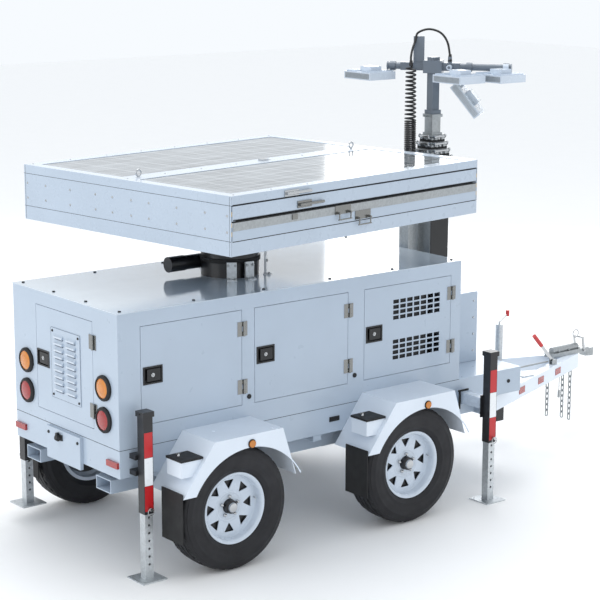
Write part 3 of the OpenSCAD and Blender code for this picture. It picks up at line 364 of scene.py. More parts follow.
class Piece:
    """Gathers simple solids in one mesh, in a local frame, then rides it on a CAD body."""

    def __init__(self, place=None):
        self.mesh = bmesh.new()
        self.place = place or Matrix.Identity(4)

    def box(self, corner, other):
        """A block between two opposite corners, in either order."""
        size = [abs(a - b) for a, b in zip(corner, other)]
        middle = (Vector(corner) + Vector(other)) / 2
        shape = move(middle) @ Matrix.Diagonal((*size, 1))
        bmesh.ops.create_cube(self.mesh, size=1, matrix=shape)
        return self

    def rod(self, start, end, radius, end_radius=None, sides=24):
        """A bar or a cone between two points."""
        start, end = Vector(start), Vector(end)
        way = end - start
        turn = way.to_track_quat("Z", "Y").to_matrix().to_4x4()
        bmesh.ops.create_cone(
            self.mesh, cap_ends=True, segments=sides, radius1=radius,
            radius2=radius if end_radius is None else end_radius,
            depth=way.length, matrix=move((start + end) / 2) @ turn)
        return self

    def join(self, rings, loop, closed):
        """Faces between rings of corners: loop joins the last ring to the first."""
        count = len(rings[0])
        for here, there in zip(rings, rings[1:] + rings[:1] if loop else rings[1:]):
            for k in range(count if closed else count - 1):
                after = (k + 1) % count
                self.mesh.faces.new((here[k], there[k], there[after], here[after]))
        return self

    def lathe(self, profile, steps=96, closed=False):
        """Turns (radius, height) points about local Z. A closed profile makes a ring."""
        rings = []
        for step in range(steps):
            angle = 2 * pi * step / steps
            rings.append([
                self.mesh.verts.new((r * cos(angle), r * sin(angle), z)) for r, z in profile])
        return self.join(rings, True, closed)

    def tube(self, points, radius, sides=8, loop=False):
        """A round bar that follows points."""
        points = [Vector(p) for p in points]
        count = len(points)
        rings = []
        side = Vector((0.31, 0.23, 0.92))
        for k, point in enumerate(points):
            before = points[k - 1] if k or loop else points[0]
            after = points[(k + 1) % count] if k + 1 < count or loop else points[-1]
            way = (after - before).normalized()
            side = (side - way * side.dot(way)).normalized()
            other = way.cross(side)
            rings.append([self.mesh.verts.new(point + radius * (
                side * cos(2 * pi * s / sides) + other * sin(2 * pi * s / sides)))
                for s in range(sides)])
        if not loop:
            self.mesh.faces.new(rings[0][::-1])
            self.mesh.faces.new(rings[-1])
        return self.join(rings, loop, True)

    def done(self, name, material, body, slot, bevel=0.0, replaces=()):
        """Makes the object, smooths it by angle, and says what it rides on and stands for."""
        bmesh.ops.remove_doubles(self.mesh, verts=self.mesh.verts, dist=1e-6)
        bmesh.ops.recalc_face_normals(self.mesh, faces=self.mesh.faces)
        self.mesh.transform(self.place)
        data = bpy.data.meshes.new(name)
        self.mesh.to_mesh(data)
        self.mesh.free()
        piece = add_object(name, data)
        data.materials.append(MATERIALS[material])
        for face in data.polygons:
            face.use_smooth = True
        data.set_sharp_from_angle(angle=radians(35))
        if bevel:
            round_edges(piece, bevel, 40)
        if body:
            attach(piece, body)
        if replaces:
            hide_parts(*replaces)
        return piece


def paint(node, base, *zones):
    """Gives a CAD node its material, and other materials to the faces that a zone's test picks.

    A test takes each triangle's lowest and highest corner in the zone's local frame.
    """
    data = frame["nodes"][node].data
    data.materials.clear()
    data.materials.append(MATERIALS[base])
    data.polygons.foreach_set("material_index", np.zeros(len(data.polygons), np.int32))
    points = np.array([v.co for v in data.vertices])
    corners = np.zeros(len(data.loops), np.int32)
    data.loops.foreach_get("vertex_index", corners)
    corners = corners.reshape(-1, 3)
    for material, place, test in zones:
        inverse = np.array(place.inverted()) if place else np.eye(4)
        local = points @ inverse[:3, :3].T + inverse[:3, 3]
        faces = local[corners]
        picked = test(faces.min(axis=1), faces.max(axis=1))
        data.materials.append(MATERIALS[material])
        index = len(data.materials) - 1
        for k in np.nonzero(picked)[0]:
            data.polygons[int(k)].material_index = index


def inside(low, high, slack=0.0006):
    """A test for triangles that lie within a box. None leaves a side open."""
    def test(lows, highs):
        good = np.ones(len(lows), bool)
        for k in range(3):
            if low[k] is not None:
                good &= lows[:, k] > low[k] - slack
            if high[k] is not None:
                good &= highs[:, k] < high[k] + slack
        return good
    return test


def layer(low, high):
    """A test for triangles between two heights. None leaves one open."""
    return inside((None, None, low), (None, None, high))


def beyond(axis, distance):
    """A test for triangles that lie further than a distance to either side of the middle."""
    return lambda lows, highs: np.minimum(np.abs(lows[:, axis]), np.abs(highs[:, axis])) > distance


def soften(node, width):
    """A small round on a CAD node's sharp edges."""
    piece = frame["nodes"][node]
    weld = piece.modifiers.new("weld", "WELD")
    weld.merge_threshold = 0.00005
    round_edges(piece, width, 50).harden_normals = True


# ---- body ----

LATCH_W = 0.128
HINGE_W = 0.045


DOORS = [joint["child"][: -len("_body")] for joint in JOINTS.values() if "door" in joint["child"]]


def paint_doors():
    """Side doors: painted panel, black latch, dark steel hinges."""
    for name in DOORS:
        if name == "rear_door":
            continue
        low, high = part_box(name)
        side = -1 if name.startswith("right") else 1
        skin = (SHELL_LOW if side < 0 else SHELL_HIGH).y
        edge = high.x - 0.021
        zones = [
            ("steel_dark", None, inside(
                (edge - HINGE_W, skin if side > 0 else None, None),
                (None, None if side > 0 else skin, None), -0.0001)),
            ("plastic", None, inside(
                (low.x + 0.012, None, low.z + 0.223), (low.x + 0.012 + LATCH_W, None, low.z + 0.323))),
        ]
        paint(name, "paint_blue", *zones)


def paint_rear_door():
    """The rear door: painted panel, black latch, dark steel hinges."""
    low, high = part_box("rear_door")
    skin = SHELL_LOW.x
    latch_low = high.y - 0.137
    paint(
        "rear_door", "paint_blue",
        ("steel_dark", None, inside((None, low.y - 0.01, None), (skin, low.y + 0.066, None), -0.0001)),
        ("plastic", None, inside((None, latch_low, low.z + 0.253), (None, latch_low + 0.13, low.z + 0.35))))


def louvres_and_bolts():
    """The rear louvre panel: corner bolts, pressed louvres in a lighter white as painted highlight, over dark
    slots of painted shadow, and a thin dark edge.
    """
    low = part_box("rear_door")[0]
    skin = SHELL_LOW.x
    panel_low, panel_high = low.y + 0.145, low.y + 0.452
    bolts = Piece()
    for y in (panel_low + 0.018, panel_high - 0.018):
        for z in (low.z + 0.113, low.z + 0.484):
            bolts.rod((skin - 0.003, y, z), (skin - 0.008, y, z), 0.008, 0.006)
    bolts.done("louvre_bolts", "plastic", "rear_door_body", "black_plastic", 0.0006)
    slots, rims = Piece(), Piece()
    for y in (panel_low + 0.045, panel_low + 0.176):
        for step in range(9):
            z = low.z + 0.095 + 0.048 + 0.038 * step
            # Dark slot strip: painted shadow under each louvre.
            slots.box((skin - 0.0085, y + 0.003, z - 0.0075), (skin - 0.0029, y + 0.083, z - 0.0002))
            # Lip in the lighter white paint: a painted highlight along each louvre.
            rims.rod((skin - 0.0105, y, z + 0.006), (skin - 0.0105, y + 0.086, z + 0.006), 0.0065, None, 16)
    slots.done("louvre_slot_shadows", "louvre_shadow_and_edge", "rear_door_body", "black_plastic")
    rims.done("louvre_lips_highlit", "paint_white", "rear_door_body", "body_paint")
    edge = Piece()
    for z in (low.z + 0.095, low.z + 0.502):
        edge.box((skin - 0.0036, panel_low, z - 0.0008), (skin - 0.0028, panel_high, z + 0.0008))
    for y in (panel_low, panel_high):
        edge.box((skin - 0.0036, y - 0.0008, low.z + 0.095), (skin - 0.0028, y + 0.0008, low.z + 0.502))
    edge.done("louvre_panel_edge", "louvre_shadow_and_edge", "rear_door_body", "black_plastic")


def vent_shade_sheets():
    """A dark sheet behind the vents of both front doors: painted shade in their depth."""
    for side, name in ((-1, "right_door_front"), (1, "left_door_front")):
        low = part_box(name)[0]
        face = (SHELL_LOW if side < 0 else SHELL_HIGH).y
        shade_sheet = Piece()
        for z in (0.085, 0.333):
            shade_sheet.box((low.x + 0.08, face - side * 0.009, low.z + z),
                      (low.x + 0.50, face - side * 0.007, low.z + z + 0.14))
        shade_sheet.done("vent_shade_" + ("r" if side < 0 else "l"), "shadow_gap", name + "_body", "black_plastic")


def latch_locks():
    """A round key lock in the recess of each door's paddle latch."""
    for name in DOORS:
        low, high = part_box(name)
        if name == "rear_door":
            out = Vector((-1, 0, 0))
            at = Vector((SHELL_LOW.x - 0.001, high.y - 0.072, low.z + 0.302))
        else:
            side = -1 if name.startswith("right") else 1
            skin = (SHELL_LOW if side < 0 else SHELL_HIGH).y
            out = Vector((0, side, 0))
            at = Vector((low.x + 0.076, skin + side * 0.001, low.z + 0.273))
        lock = Piece()
        lock.rod(at - out * 0.006, at + out * 0.004, 0.0125, 0.0115)
        lock.rod(at + out * 0.004, at + out * 0.007, 0.0085, 0.0075)
        lock.done("lock_" + name, "chrome", name + "_body", "hardware_steel", 0.0006)
        slit = Piece()
        slit.rod(at + out * 0.0066, at + out * 0.0076, 0.0024, None, 12)
        slit.done("keyhole_" + name, "plastic", name + "_body", "black_plastic")


def body_seam():
    """The gasket between body and base."""
    low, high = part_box("cabinet_shell")
    seam = low.z
    line = Piece()
    reach = 0.0006
    for y in (low.y, high.y):
        line.box((low.x, y - reach, seam - 0.0015), (high.x, y + reach, seam + 0.0015))
    for x in (low.x, high.x):
        line.box((x - reach, low.y, seam - 0.0015), (x + reach, high.y, seam + 0.0015))
    line.done("body_seam", "gasket", "trailer", "black_rubber")


def rear_plate():
    """The bolts and the hooded lamp on the plate under the rear door."""
    face, top = SHELL_LOW.x - 0.021, SHELL_LOW.z - 0.008
    bolts = Piece()
    for side in SIDES:
        bolts.rod((face, side * 0.155, top - 0.035), (face - 0.006, side * 0.155, top - 0.035), 0.0095, 0.008)
    bolts.done("rear_plate_bolts", "plastic", "trailer", "black_plastic", 0.0006)
    lamp = Piece().box((face - 0.008, 0.004, top - 0.058), (face, 0.076, top - 0.024))
    lamp.rod((face - 0.006, 0.040, top - 0.046), (face - 0.026, 0.040, top - 0.040), 0.022, 0.015)
    lamp.rod((face - 0.004, 0.040, top - 0.020), (face - 0.022, 0.040, top - 0.020), 0.007)
    lamp.done("plate_lamp_hood", "plastic", "trailer", "black_plastic", 0.0015)


def housing_screws():
    """Rows of screws on the sides and the front of the mast housing."""
    low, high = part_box("mast_housing")
    screws = Piece()
    for y, way in ((low.y, -1), (high.y, 1)):
        for x in (low.x + 0.035, high.x - 0.035):
            for step in range(4):
                z = high.z - 0.06 - 0.11 * step
                screws.rod((x, y, z), (x, y + way * 0.004, z), 0.007, 0.005)
    for y in (-0.16, 0, 0.16):
        for step in range(3):
            z = high.z - 0.06 - 0.15 * step
            screws.rod((high.x, y, z), (high.x + 0.004, y, z), 0.007, 0.005)
    screws.done("housing_screws", "chrome", "trailer", "hardware_steel", 0.0005)


# ---- wheels ----

TYRE_R = 0.359
TYRE_CROWN = 0.9
TREAD_STEPS = 216


def tread_depth(across, step):
    """How deep the tread lies at a place across the tyre and round it."""
    deep = 0.0
    for groove in (-0.054, -0.018, 0.018, 0.054):
        if abs(across - groove) < 0.0045:
            deep = 0.007
    third = step % 6
    if abs(across) > 0.062 and third < 2:
        deep = 0.006
    if 0.024 < abs(across) < 0.048 and third == 3:
        deep = 0.003
    return deep


def wheel_place(key):
    """A wheel's frame: local Z points out along its axle."""
    low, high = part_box("tyre_" + key)
    return turned((low + high) / 2, radians(90 if key[1] == "r" else -90), "X")


def tyre(key):
    """A ribbed trailer tyre with side lettering left off."""
    low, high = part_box("tyre_" + key)
    half = (high.y - low.y) / 2
    wall = [
        (0.190, 0.074), (0.204, 0.078), (0.211, 0.088), (0.222, 0.097), (0.232, 0.1015), (0.234, 0.1035),
        (0.240, 0.1045), (0.243, 0.1035), (0.262, 0.1075), (0.280, half - 0.0002), (0.300, 0.107),
        (0.303, 0.1082),
        (0.309, 0.107), (0.312, 0.1045), (0.328, 0.099), (0.333, 0.0975), (0.3335, 0.0945), (0.343, 0.0905),
        (0.3495, 0.0845),
    ]
    tread = [0.078, 0.070, 0.0625, 0.0586, 0.0584, 0.0496, 0.0494, 0.036, 0.0226, 0.0224, 0.0136, 0.0134]
    across = tread + [-z for z in tread[::-1]]
    piece = Piece(wheel_place(key))
    rings = []
    for step in range(TREAD_STEPS):
        angle = 2 * pi * step / TREAD_STEPS
        ring = wall + [(TYRE_R - TYRE_CROWN * z * z - tread_depth(z, step), z) for z in across]
        ring += [(r, -z) for r, z in wall[::-1]]
        rings.append([piece.mesh.verts.new((r * cos(angle), r * sin(angle), z)) for r, z in ring])
    piece.join(rings, True, True).done(
        "tread_" + key, "tyre", "wheel_" + key + "_set", "tyre_rubber", replaces=("tyre_" + key,))


def window_outline(angle):
    """A rounded triangle that points to the hub."""
    corners = [Vector((0.094, 0, 0)), Vector((0.152, -0.036, 0)), Vector((0.152, 0.036, 0))]
    turn = Matrix.Rotation(angle, 3, "Z")
    points = []
    for k, corner in enumerate(corners):
        before = (corners[k - 1] - corner).normalized()
        after = (corners[(k + 1) % 3] - corner).normalized()
        start, end = corner + before * 0.010, corner + after * 0.010
        for step in range(5):
            t = step / 4
            points.append(turn @ (start * (1 - t) ** 2 + corner * 2 * t * (1 - t) + end * t * t))
    return points


def circle_points(radius, count):
    """Points round a circle in the plane Z = 0."""
    angles = [2 * pi * k / count for k in range(count)]
    return [Vector((radius * cos(a), radius * sin(a), 0)) for a in angles]


def wheel_disc(place, height, key):
    """The pressed disc with its eight windows, filled from outlines and given a thickness."""
    curve = bpy.data.curves.new("wheel_disc_" + key, "CURVE")
    curve.dimensions = "2D"
    curve.fill_mode = "BOTH"
    curve.extrude = 0.0022
    curve.bevel_depth = 0.0012
    outlines = [circle_points(0.1855, 96), circle_points(0.0430, 48)]
    outlines += [window_outline(radians(45 * k)) for k in range(8)]
    for points in outlines:
        line = curve.splines.new("POLY")
        line.points.add(len(points) - 1)
        for point, target in zip(points, line.points):
            target.co = (*point, 1)
        line.use_cyclic_u = True
    source = add_object("outline", curve)
    bpy.context.view_layer.update()
    data = bpy.data.meshes.new_from_object(source.evaluated_get(bpy.context.evaluated_depsgraph_get()))
    bpy.data.objects.remove(source)
    data.transform(place @ move((0, 0, height)))
    data.materials.clear()
    data.materials.append(MATERIALS["paint_white"])
    disc = add_object("wheel_disc_" + key, data)
    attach(disc, "wheel_" + key + "_set")
    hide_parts("wheel_" + key)


def wheel(key):
    """Rim, disc, hub, cap, nuts and valve of one wheel."""
    body = "wheel_" + key + "_set"
    place = wheel_place(key)
    face = 0.022
    rim = [
        (0.186, -0.084), (0.207, -0.084), (0.207, -0.079), (0.191, -0.074), (0.1885, -0.045), (0.170, -0.030),
        (0.170, 0.010), (0.1865, 0.030), (0.1885, 0.045), (0.190, 0.072), (0.200, 0.078), (0.2065, 0.084),
        (0.2045, 0.087), (0.198, 0.086), (0.188, 0.079), (0.1845, 0.070), (0.183, 0.035), (0.1665, 0.014),
        (0.1665, -0.028), (0.184, -0.044),
    ]
    Piece(place).lathe(rim, 96, True).done("rim_" + key, "paint_white", body, "white_paint")
    wheel_disc(place, face + 0.004, key)
    crown = [(0.072, face + 0.0062), (0.078, face + 0.0105), (0.084, face + 0.0115), (0.091, face + 0.0085),
             (0.095, face + 0.0062)]
    hub = [(0.0, face - 0.06), (0.0425, face - 0.06), (0.0425, face + 0.009), (0.0395, face + 0.016),
           (0.0385, face + 0.034), (0.036, face + 0.037), (0.0, face + 0.037)]
    cap = [(0.0285, face + 0.030), (0.0285, face + 0.046), (0.026, face + 0.051), (0.018, face + 0.053),
           (0.0, face + 0.0535)]
    for name, profile, material, slot in (
            ("disc_crown_", crown, "paint_white", "white_paint"),
            ("hub_", hub, "paint_black", "chassis_black"),
            ("hub_cap_", cap, "chrome", "hardware_steel")):
        Piece(place).lathe(profile, 64).done(name + key, material, body, slot)
    nuts = Piece(place)
    for k in range(5):
        angle = radians(72 * k + 18)
        x, y = 0.057 * cos(angle), 0.057 * sin(angle)
        nuts.rod((x, y, face + 0.010), (x, y, face + 0.020), 0.0115, 0.0105, 6)
        nuts.rod((x, y, face + 0.020), (x, y, face + 0.026), 0.0098, 0.005, 16)
    nuts.rod((0.172, 0.02, face + 0.004), (0.166, 0.018, face + 0.034), 0.0045, 0.004, 12)
    nuts.done("wheel_nuts_" + key, "chrome", body, "hardware_steel", 0.0006)
    # The black brake drum, widened to a disc behind the wheel disc's windows: the real drum, and painted
    # shade inside the wheel.
    drum = [(0.0, -0.045), (0.160, -0.045), (0.160, 0.014), (0.0, 0.014)]
    Piece(place).lathe(drum, 64).done("brake_drum_and_shade_" + key, "paint_black", body, "chassis_black", 0.002)


# ---- fenders ----

def paint_fenders():
    """White outside in a lighter copy of the white paint as painted light, black coat inside: faces that look
    down or inwards are black.
    """
    paint("fenders", "paint_fender_lit")
    data = frame["nodes"]["fenders"].data
    data.materials.append(MATERIALS["plastic"])
    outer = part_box("fenders")[1].y
    for face in data.polygons:
        across = abs(face.center.y)
        inwards = face.normal.y * face.center.y < -0.5 * across and across > outer - 0.01
        if (face.normal.z < -0.3 and across > 0.56 and face.center.z > 0.66) or inwards:
            face.material_index = 1


def fender_trim():
    """Rolled lips along the wheel arches, box lids' wing bolts and side lamp rims."""
    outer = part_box("fenders")[1].y
    arch_r, arch_z, forward = 0.415, 0.290, 0.080
    lips, knobs, rims = Piece(), Piece(), Piece()
    for x in sorted({round(JOINTS["wheel_" + key + "_spin"]["pos_m"][0], 5) for key in WHEELS}):
        for side in SIDES:
            y = side * (outer - 0.004)
            start = asin((0.490 - arch_z) / arch_r)
            arc = [(x + forward + arch_r * cos(a), y, arch_z + arch_r * sin(a))
                   for a in np.linspace(start, pi - start, 40)]
            lips.tube(arc, 0.0042)
            knobs.rod((x - 0.318, side * 0.745, 0.702), (x - 0.318, side * 0.745, 0.716), 0.010, 0.007)
            knobs.box((x - 0.334, side * 0.745 - 0.004, 0.708), (x - 0.302, side * 0.745 + 0.004, 0.722))
            rims.tube([(x + 0.095 + 0.023 * cos(a), side * (outer + 0.003), 0.723 + 0.023 * sin(a))
                       for a in np.linspace(0, 2 * pi, 32, endpoint=False)], 0.0035, 8, True)
    # The arch lips take the fenders' lighter copy of the white paint: painted light.
    lips.done("arch_lips", "paint_fender_lit", "trailer", "white_paint")
    knobs.done("lid_knobs", "chrome", "trailer", "hardware_steel", 0.0008)
    rims.done("side_lamp_rims", "plastic", "trailer", "black_plastic")


# ---- lamps, tapes and small metal ----

def lamp_lenses():
    """Domed lenses over the tail lamps, each with its rubber lip."""
    dome = [(0.0, 0.0085), (0.012, 0.0083), (0.024, 0.0076), (0.036, 0.0062), (0.046, 0.0042),
            (0.053, 0.0012), (0.0545, -0.002)]
    lip = [(0.056, -0.004), (0.0555, 0.003), (0.060, 0.0055), (0.067, 0.003), (0.0725, -0.003),
           (0.0735, -0.014), (0.056, -0.014)]
    skin = SHELL_LOW.x
    for side in SIDES:
        for z, material in ((1.055, "lens_amber"), (0.875, "lens_red")):
            place = turned((skin - 0.0155, side * 0.41, z), radians(-90), "Y")
            tag = ("r" if side < 0 else "l") + ("_amber" if z > 1 else "_red")
            Piece(place).lathe(dome, 64).done("tail_lens_" + tag, material, "trailer", "lens")
            Piece(place).lathe(lip, 64, True).done("tail_rim_" + tag, "rubber", "trailer", "black_rubber")


def jack_tapes():
    """Red and white reflective bands on the outer face of each jack."""
    for key in WHEELS:
        side = -1 if key[1] == "r" else 1
        low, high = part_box("jack_leg_" + key)
        middle = (low + high) / 2
        y = middle.y + side * 0.030
        body = "trailer" if key[0] == "r" else "outrigger_" + key[1] + "_body"
        red, white = Piece(), Piece()
        for piece, z0, z1 in ((red, 0.701, 0.842), (white, 0.542, 0.699), (red, 0.397, 0.540)):
            piece.box((middle.x - 0.027, y, z0), (middle.x + 0.027, y + side * 0.0008, z1))
        red.done("tape_red_" + key, "tape_red", body, "lens")
        white.done("tape_white_" + key, "tape_white", body, "white_paint")
        pins = Piece()
        pins.tube([(middle.x + 0.02 * cos(a), y + side * 0.020, 0.398 + 0.02 * sin(a))
                   for a in np.linspace(0, 2 * pi, 28, endpoint=False)], 0.0022, 8, True)
        pins.rod((middle.x, y, 0.410), (middle.x, y + side * 0.024, 0.410), 0.0095)
        pins.done("jack_pin_" + key, "chrome", body, "hardware_steel", 0.0008)
        cap = Piece()
        for dx in SIDES:
            x, y = middle.x, middle.y
            cap.rod((x + dx * 0.037, y, 0.943), (x + dx * 0.041, y, 0.943), 0.007, 0.006)
        cap.done("jack_cap_bolts_" + key, "plastic", body, "chassis_black", 0.0005)


# ---- slewing solar box ----

BOX_HALF_L, BOX_HALF_W = 1.0265, 0.881


def box_place():
    """The solar box's frame: local X runs along its long side, Y across it."""
    low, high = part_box("solar_frame")
    return turned(((low.x + high.x) / 2, (low.y + high.y) / 2, 0), box_turn())


def paint_solar_box():
    """Box and trays: painted sheet, the box's sides and the upper tray in a darker copy of the white paint as
    painted shade and the box's top rim in the white, cells on top, bare metal fittings.
    """
    place = box_place()
    glass_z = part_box("solar_modules")[1].z
    tray_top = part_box("tray_lower")[1].z
    rim = layer(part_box("solar_frame")[1].z - 0.0008, None)
    # The box's sides take the darker copy of the white paint as painted shade; its top rim keeps the white.
    paint("solar_frame", "paint_box_shaded", ("paint_white", None, rim))
    paint("solar_modules", "alloy", ("cells", None, layer(glass_z - 0.0008, None)))
    bright = ("steel_dark", place, lambda lows, highs: (
        np.abs(lows[:, 1] + highs[:, 1]) / 2 > BOX_HALF_W + 0.0004))
    paint("tray_lower", "paint_blue", ("cells", None, layer(tray_top - 0.0008, None)), bright)
    upper_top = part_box("tray_upper")[1].z
    upper_glass = layer(upper_top - 0.0022, upper_top - 0.0018)
    # The upper tray takes the darker copy of the white paint: painted shade.
    paint("tray_upper", "paint_box_shaded", ("cells", None, upper_glass), bright)
    paint("solar_hardware", "chrome", ("brass", place, beyond(0, BOX_HALF_L - 0.012)))


def box_screws():
    """Pan-head screws on the end walls, edge screws on top and the seams of the folded corners."""
    place = box_place()
    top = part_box("solar_frame")[1].z
    half_l, half_w = BOX_HALF_L, BOX_HALF_W
    screws = Piece(place)
    for end in SIDES:
        for b in (0.08, 0.228, 0.455, 0.68, 0.85):
            for way in SIDES:
                for z in (top - 0.108, top - 0.195):
                    start = (end * half_l, way * b, z)
                    screws.rod(start, (end * (half_l + 0.003), way * b, z), 0.0075, 0.0055, 16)
    for a in np.linspace(-0.98, 0.98, 8):
        for b in (-half_w + 0.03, half_w - 0.03, 0):
            screws.rod((a, b, top), (a, b, top + 0.0025), 0.006, 0.0045, 16)
    screws.done("box_screws", "chrome", "slewing_box", "hardware_steel")
    seams = Piece(place)
    for end in SIDES:
        for z in (top - 0.051, top - 0.243):
            seams.box((end * half_l - 0.0004, -half_w, z - 0.0012),
                      (end * half_l + 0.0004, half_w, z + 0.0012))
        for way in SIDES:
            seams.box((end * half_l - 0.0004, way * (half_w - 0.012) - 0.001, top - 0.32),
                      (end * half_l + 0.0004, way * (half_w - 0.012) + 0.001, top - 0.003))
    seams.done("box_seams", "gasket", "slewing_box", "black_rubber")


def tray_bands():
    """Dark strips of painted shadow above and below the tray mouths, the bare rail, and dark strips of
    painted shadow in the gaps along the trays' face.
    """
    place = box_place()
    half_l, half_w = BOX_HALF_L, BOX_HALF_W
    frame_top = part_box("solar_frame")[1].z
    mouth_low, mouth_top = frame_top - 0.243, frame_top - 0.051
    split = mouth_low + 0.107
    mouth = Piece(place)
    for side in SIDES:
        for z in (mouth_low - 0.004, mouth_top):
            y = side * half_w
            mouth.box((-half_l + 0.010, y - 0.0006, z), (half_l - 0.010, y + 0.0006, z + 0.004))
    mouth.done("tray_mouth_shadow", "shadow_gap", "slewing_box", "black_rubber")
    # The two gap strips are painted shadow; the rail is bare zinc.
    for name, body, low, high, material in (
            ("tray_rail", "tray_lower_body", mouth_low + 0.054, split - 0.008, "zinc"),
            ("tray_lower_gap", "tray_lower_body", split - 0.008, split - 0.001, "shadow_gap"),
            ("tray_upper_gap", "tray_upper_body", split + 0.0046, split + 0.0090, "shadow_gap")):
        strip = Piece(place)
        strip.box((-half_l + 0.014, -half_w - 0.0012, low), (half_l - 0.014, -half_w - 0.0002, high))
        strip.done(name, material, body, "hardware_steel" if material == "zinc" else "black_rubber")


def paint_slew():
    """Slewing drive: black drum and worm housing, galvanised posts and frame."""
    centre = JOINTS["solar_box_slew"]["pos_m"]

    def post(lows, highs):
        middle = (lows + highs) / 2
        reach = np.hypot(middle[:, 0] - centre[0], middle[:, 1] - centre[1])
        housing = (middle[:, 1] > 0.08) & (middle[:, 0] < centre[0] + 0.085) & (middle[:, 1] < 0.178)
        return (reach > 0.2) & ~housing

    paint("slew_base", "paint_black", ("zinc_pale", None, post))
    paint("slew_frame", "zinc_pale", ("paint_black", None, layer(None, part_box("slew_base")[1].z + 0.152)))


def slew_bolts():
    """Bolt ring of the slewing drive, its rubber seal and the bolts of the post clamps."""
    centre = JOINTS["solar_box_slew"]["pos_m"]
    axis = move((centre[0], centre[1], 0))
    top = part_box("slew_frame")[0].z
    ring = Piece(axis)
    for k in range(24):
        x, y = 0.158 * cos(radians(15 * k)), 0.158 * sin(radians(15 * k))
        ring.rod((x, y, top + 0.030), (x, y, top + 0.040), 0.0085, None, 6)
    ring.done("slew_ring_bolts", "zinc", "slewing_box", "galvanised", 0.0008)
    rim = [(0.1752, top - 0.030), (0.181, top - 0.028), (0.181, top - 0.004), (0.1752, top - 0.002)]
    Piece(axis).lathe(rim, 96, True).done("slew_seal", "rubber", "trailer", "black_rubber")
    feet = Piece(axis)
    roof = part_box("cabinet_roof")[1].z
    for side, angles in ((-1, (50, 95, 124)), (1, (50, 95))):
        for angle in angles:
            turn = Matrix.Rotation(radians(side * angle), 4, "Z")
            for offset in ((-0.02, 0.02) if angle != 50 else (0.0,)):
                start = turn @ Vector((0.216 + 0.020, offset, roof + 0.006))
                feet.rod(start, start + Vector((0, 0, 0.008)), 0.008, None, 6)
                high = turn @ Vector((0.216 + 0.006, offset, roof + 0.085))
                out = turn @ Vector((0.216 + 0.014, offset, roof + 0.085))
                feet.rod(high, out, 0.008, None, 6)
    feet.done("post_bolts", "zinc", "trailer", "galvanised", 0.0008)


# ---- mast ----

def bar_place():
    """The crossbar's frame: local X runs along the bar."""
    way = JOINTS["lamp_near_tilt"]["axis"]
    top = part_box("mast_top")
    middle = (top[0] + top[1]) / 2
    return turned((middle.x, 0, JOINTS["lamp_near_tilt"]["pos_m"][2]), atan2(way[1], way[0]))


def paint_mast():
    """Mast: galvanised column and stages, a black plate on the column, grey head."""
    column_x = bar_place().translation.x
    plate = inside((column_x - 0.078, -0.0845, 1.2), (column_x + 0.078, -0.0798, 2.02))
    paint("mast_base", "zinc", ("plastic", None, plate))
    for stage in ("mast_stage_1", "mast_stage_2", "mast_stage_3", "mast_top"):
        paint(stage, "zinc")
    paint("mast_head", "paint_grey")


HEAD_CABLE = [
    (1.400, 0.047, 2.656), (1.401, 0.050, 2.700), (1.430, 0.068, 2.750), (1.469, 0.085, 2.800),
    (1.482, 0.076, 2.848), (1.525, 0.020, 2.872), (1.572, -0.038, 2.850), (1.603, -0.070, 2.790),
    (1.615, -0.083, 2.700)]
VEHICLE_MIDDLE = 0.937


def smooth_line(points, steps):
    """Points along a curve through the given ones."""
    points = [Vector(p) for p in points]
    line = []
    for k in range(len(points) - 1):
        before, after = points[max(k - 1, 0)], points[min(k + 2, len(points) - 1)]
        start, end = points[k], points[k + 1]
        pull, push = (end - before) / 6, (after - start) / 6
        for step in range(steps):
            t = step / steps
            line.append(start * (1 - t) ** 3 + (start + pull) * 3 * t * (1 - t) ** 2
                        + (end - push) * 3 * t * t * (1 - t) + end * t ** 3)
    line.append(points[-1])
    return line


def add_cords():
    """The curly cord beside the mast, drawn in one fixed shape with its upper turns opened out, and the cable
    over its head.
    """
    low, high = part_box("curly_cord")
    centre = (low + high) / 2
    wire = 0.0062
    reach = (high.x - low.x) / 2 - wire
    tight_top = 2.300
    tight_turns, open_turns = 16, 13
    points = []
    total = tight_turns + open_turns
    per_turn = 20
    bottom, top = low.z + wire, high.z - 0.012
    for k in range(total * per_turn + 1):
        turn = k / per_turn
        if turn <= tight_turns:
            z = bottom + (tight_top - bottom) * turn / tight_turns
        else:
            t = (turn - tight_turns) / open_turns
            z = tight_top + (top - tight_top) * t
        squeeze = 1.0 - 0.12 * max(0.0, (turn - tight_turns) / open_turns)
        ends = min(1.0, turn / 0.6, (total - turn) / 0.6)
        radius = reach * squeeze * max(ends, 0.0)
        angle = 2 * pi * turn
        points.append((centre.x + radius * cos(angle), centre.y + radius * sin(angle), z))
    coil = Piece().tube(points, wire, 8).done(
        "curly_cord_coil", "cord", None, "black_rubber", replaces=("curly_cord",))
    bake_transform(coil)
    route = [(x - VEHICLE_MIDDLE, y, z) for x, y, z in HEAD_CABLE]
    Piece().tube(smooth_line(route, 6), 0.0072, 12).done(
        "head_cable_jacket", "cord", "mast_top_body", "black_rubber")
    glands = Piece()
    first, last = Vector(route[0]), Vector(route[-1])
    glands.rod(first - Vector((0, 0, 0.012)), first + Vector((0, 0, 0.022)), 0.014, 0.010)
    glands.rod(last - Vector((0, 0, 0.03)), last + Vector((0, 0, 0.016)), 0.0145, 0.0095)
    glands.done("cable_glands", "plastic", "mast_top_body", "black_plastic", 0.001)


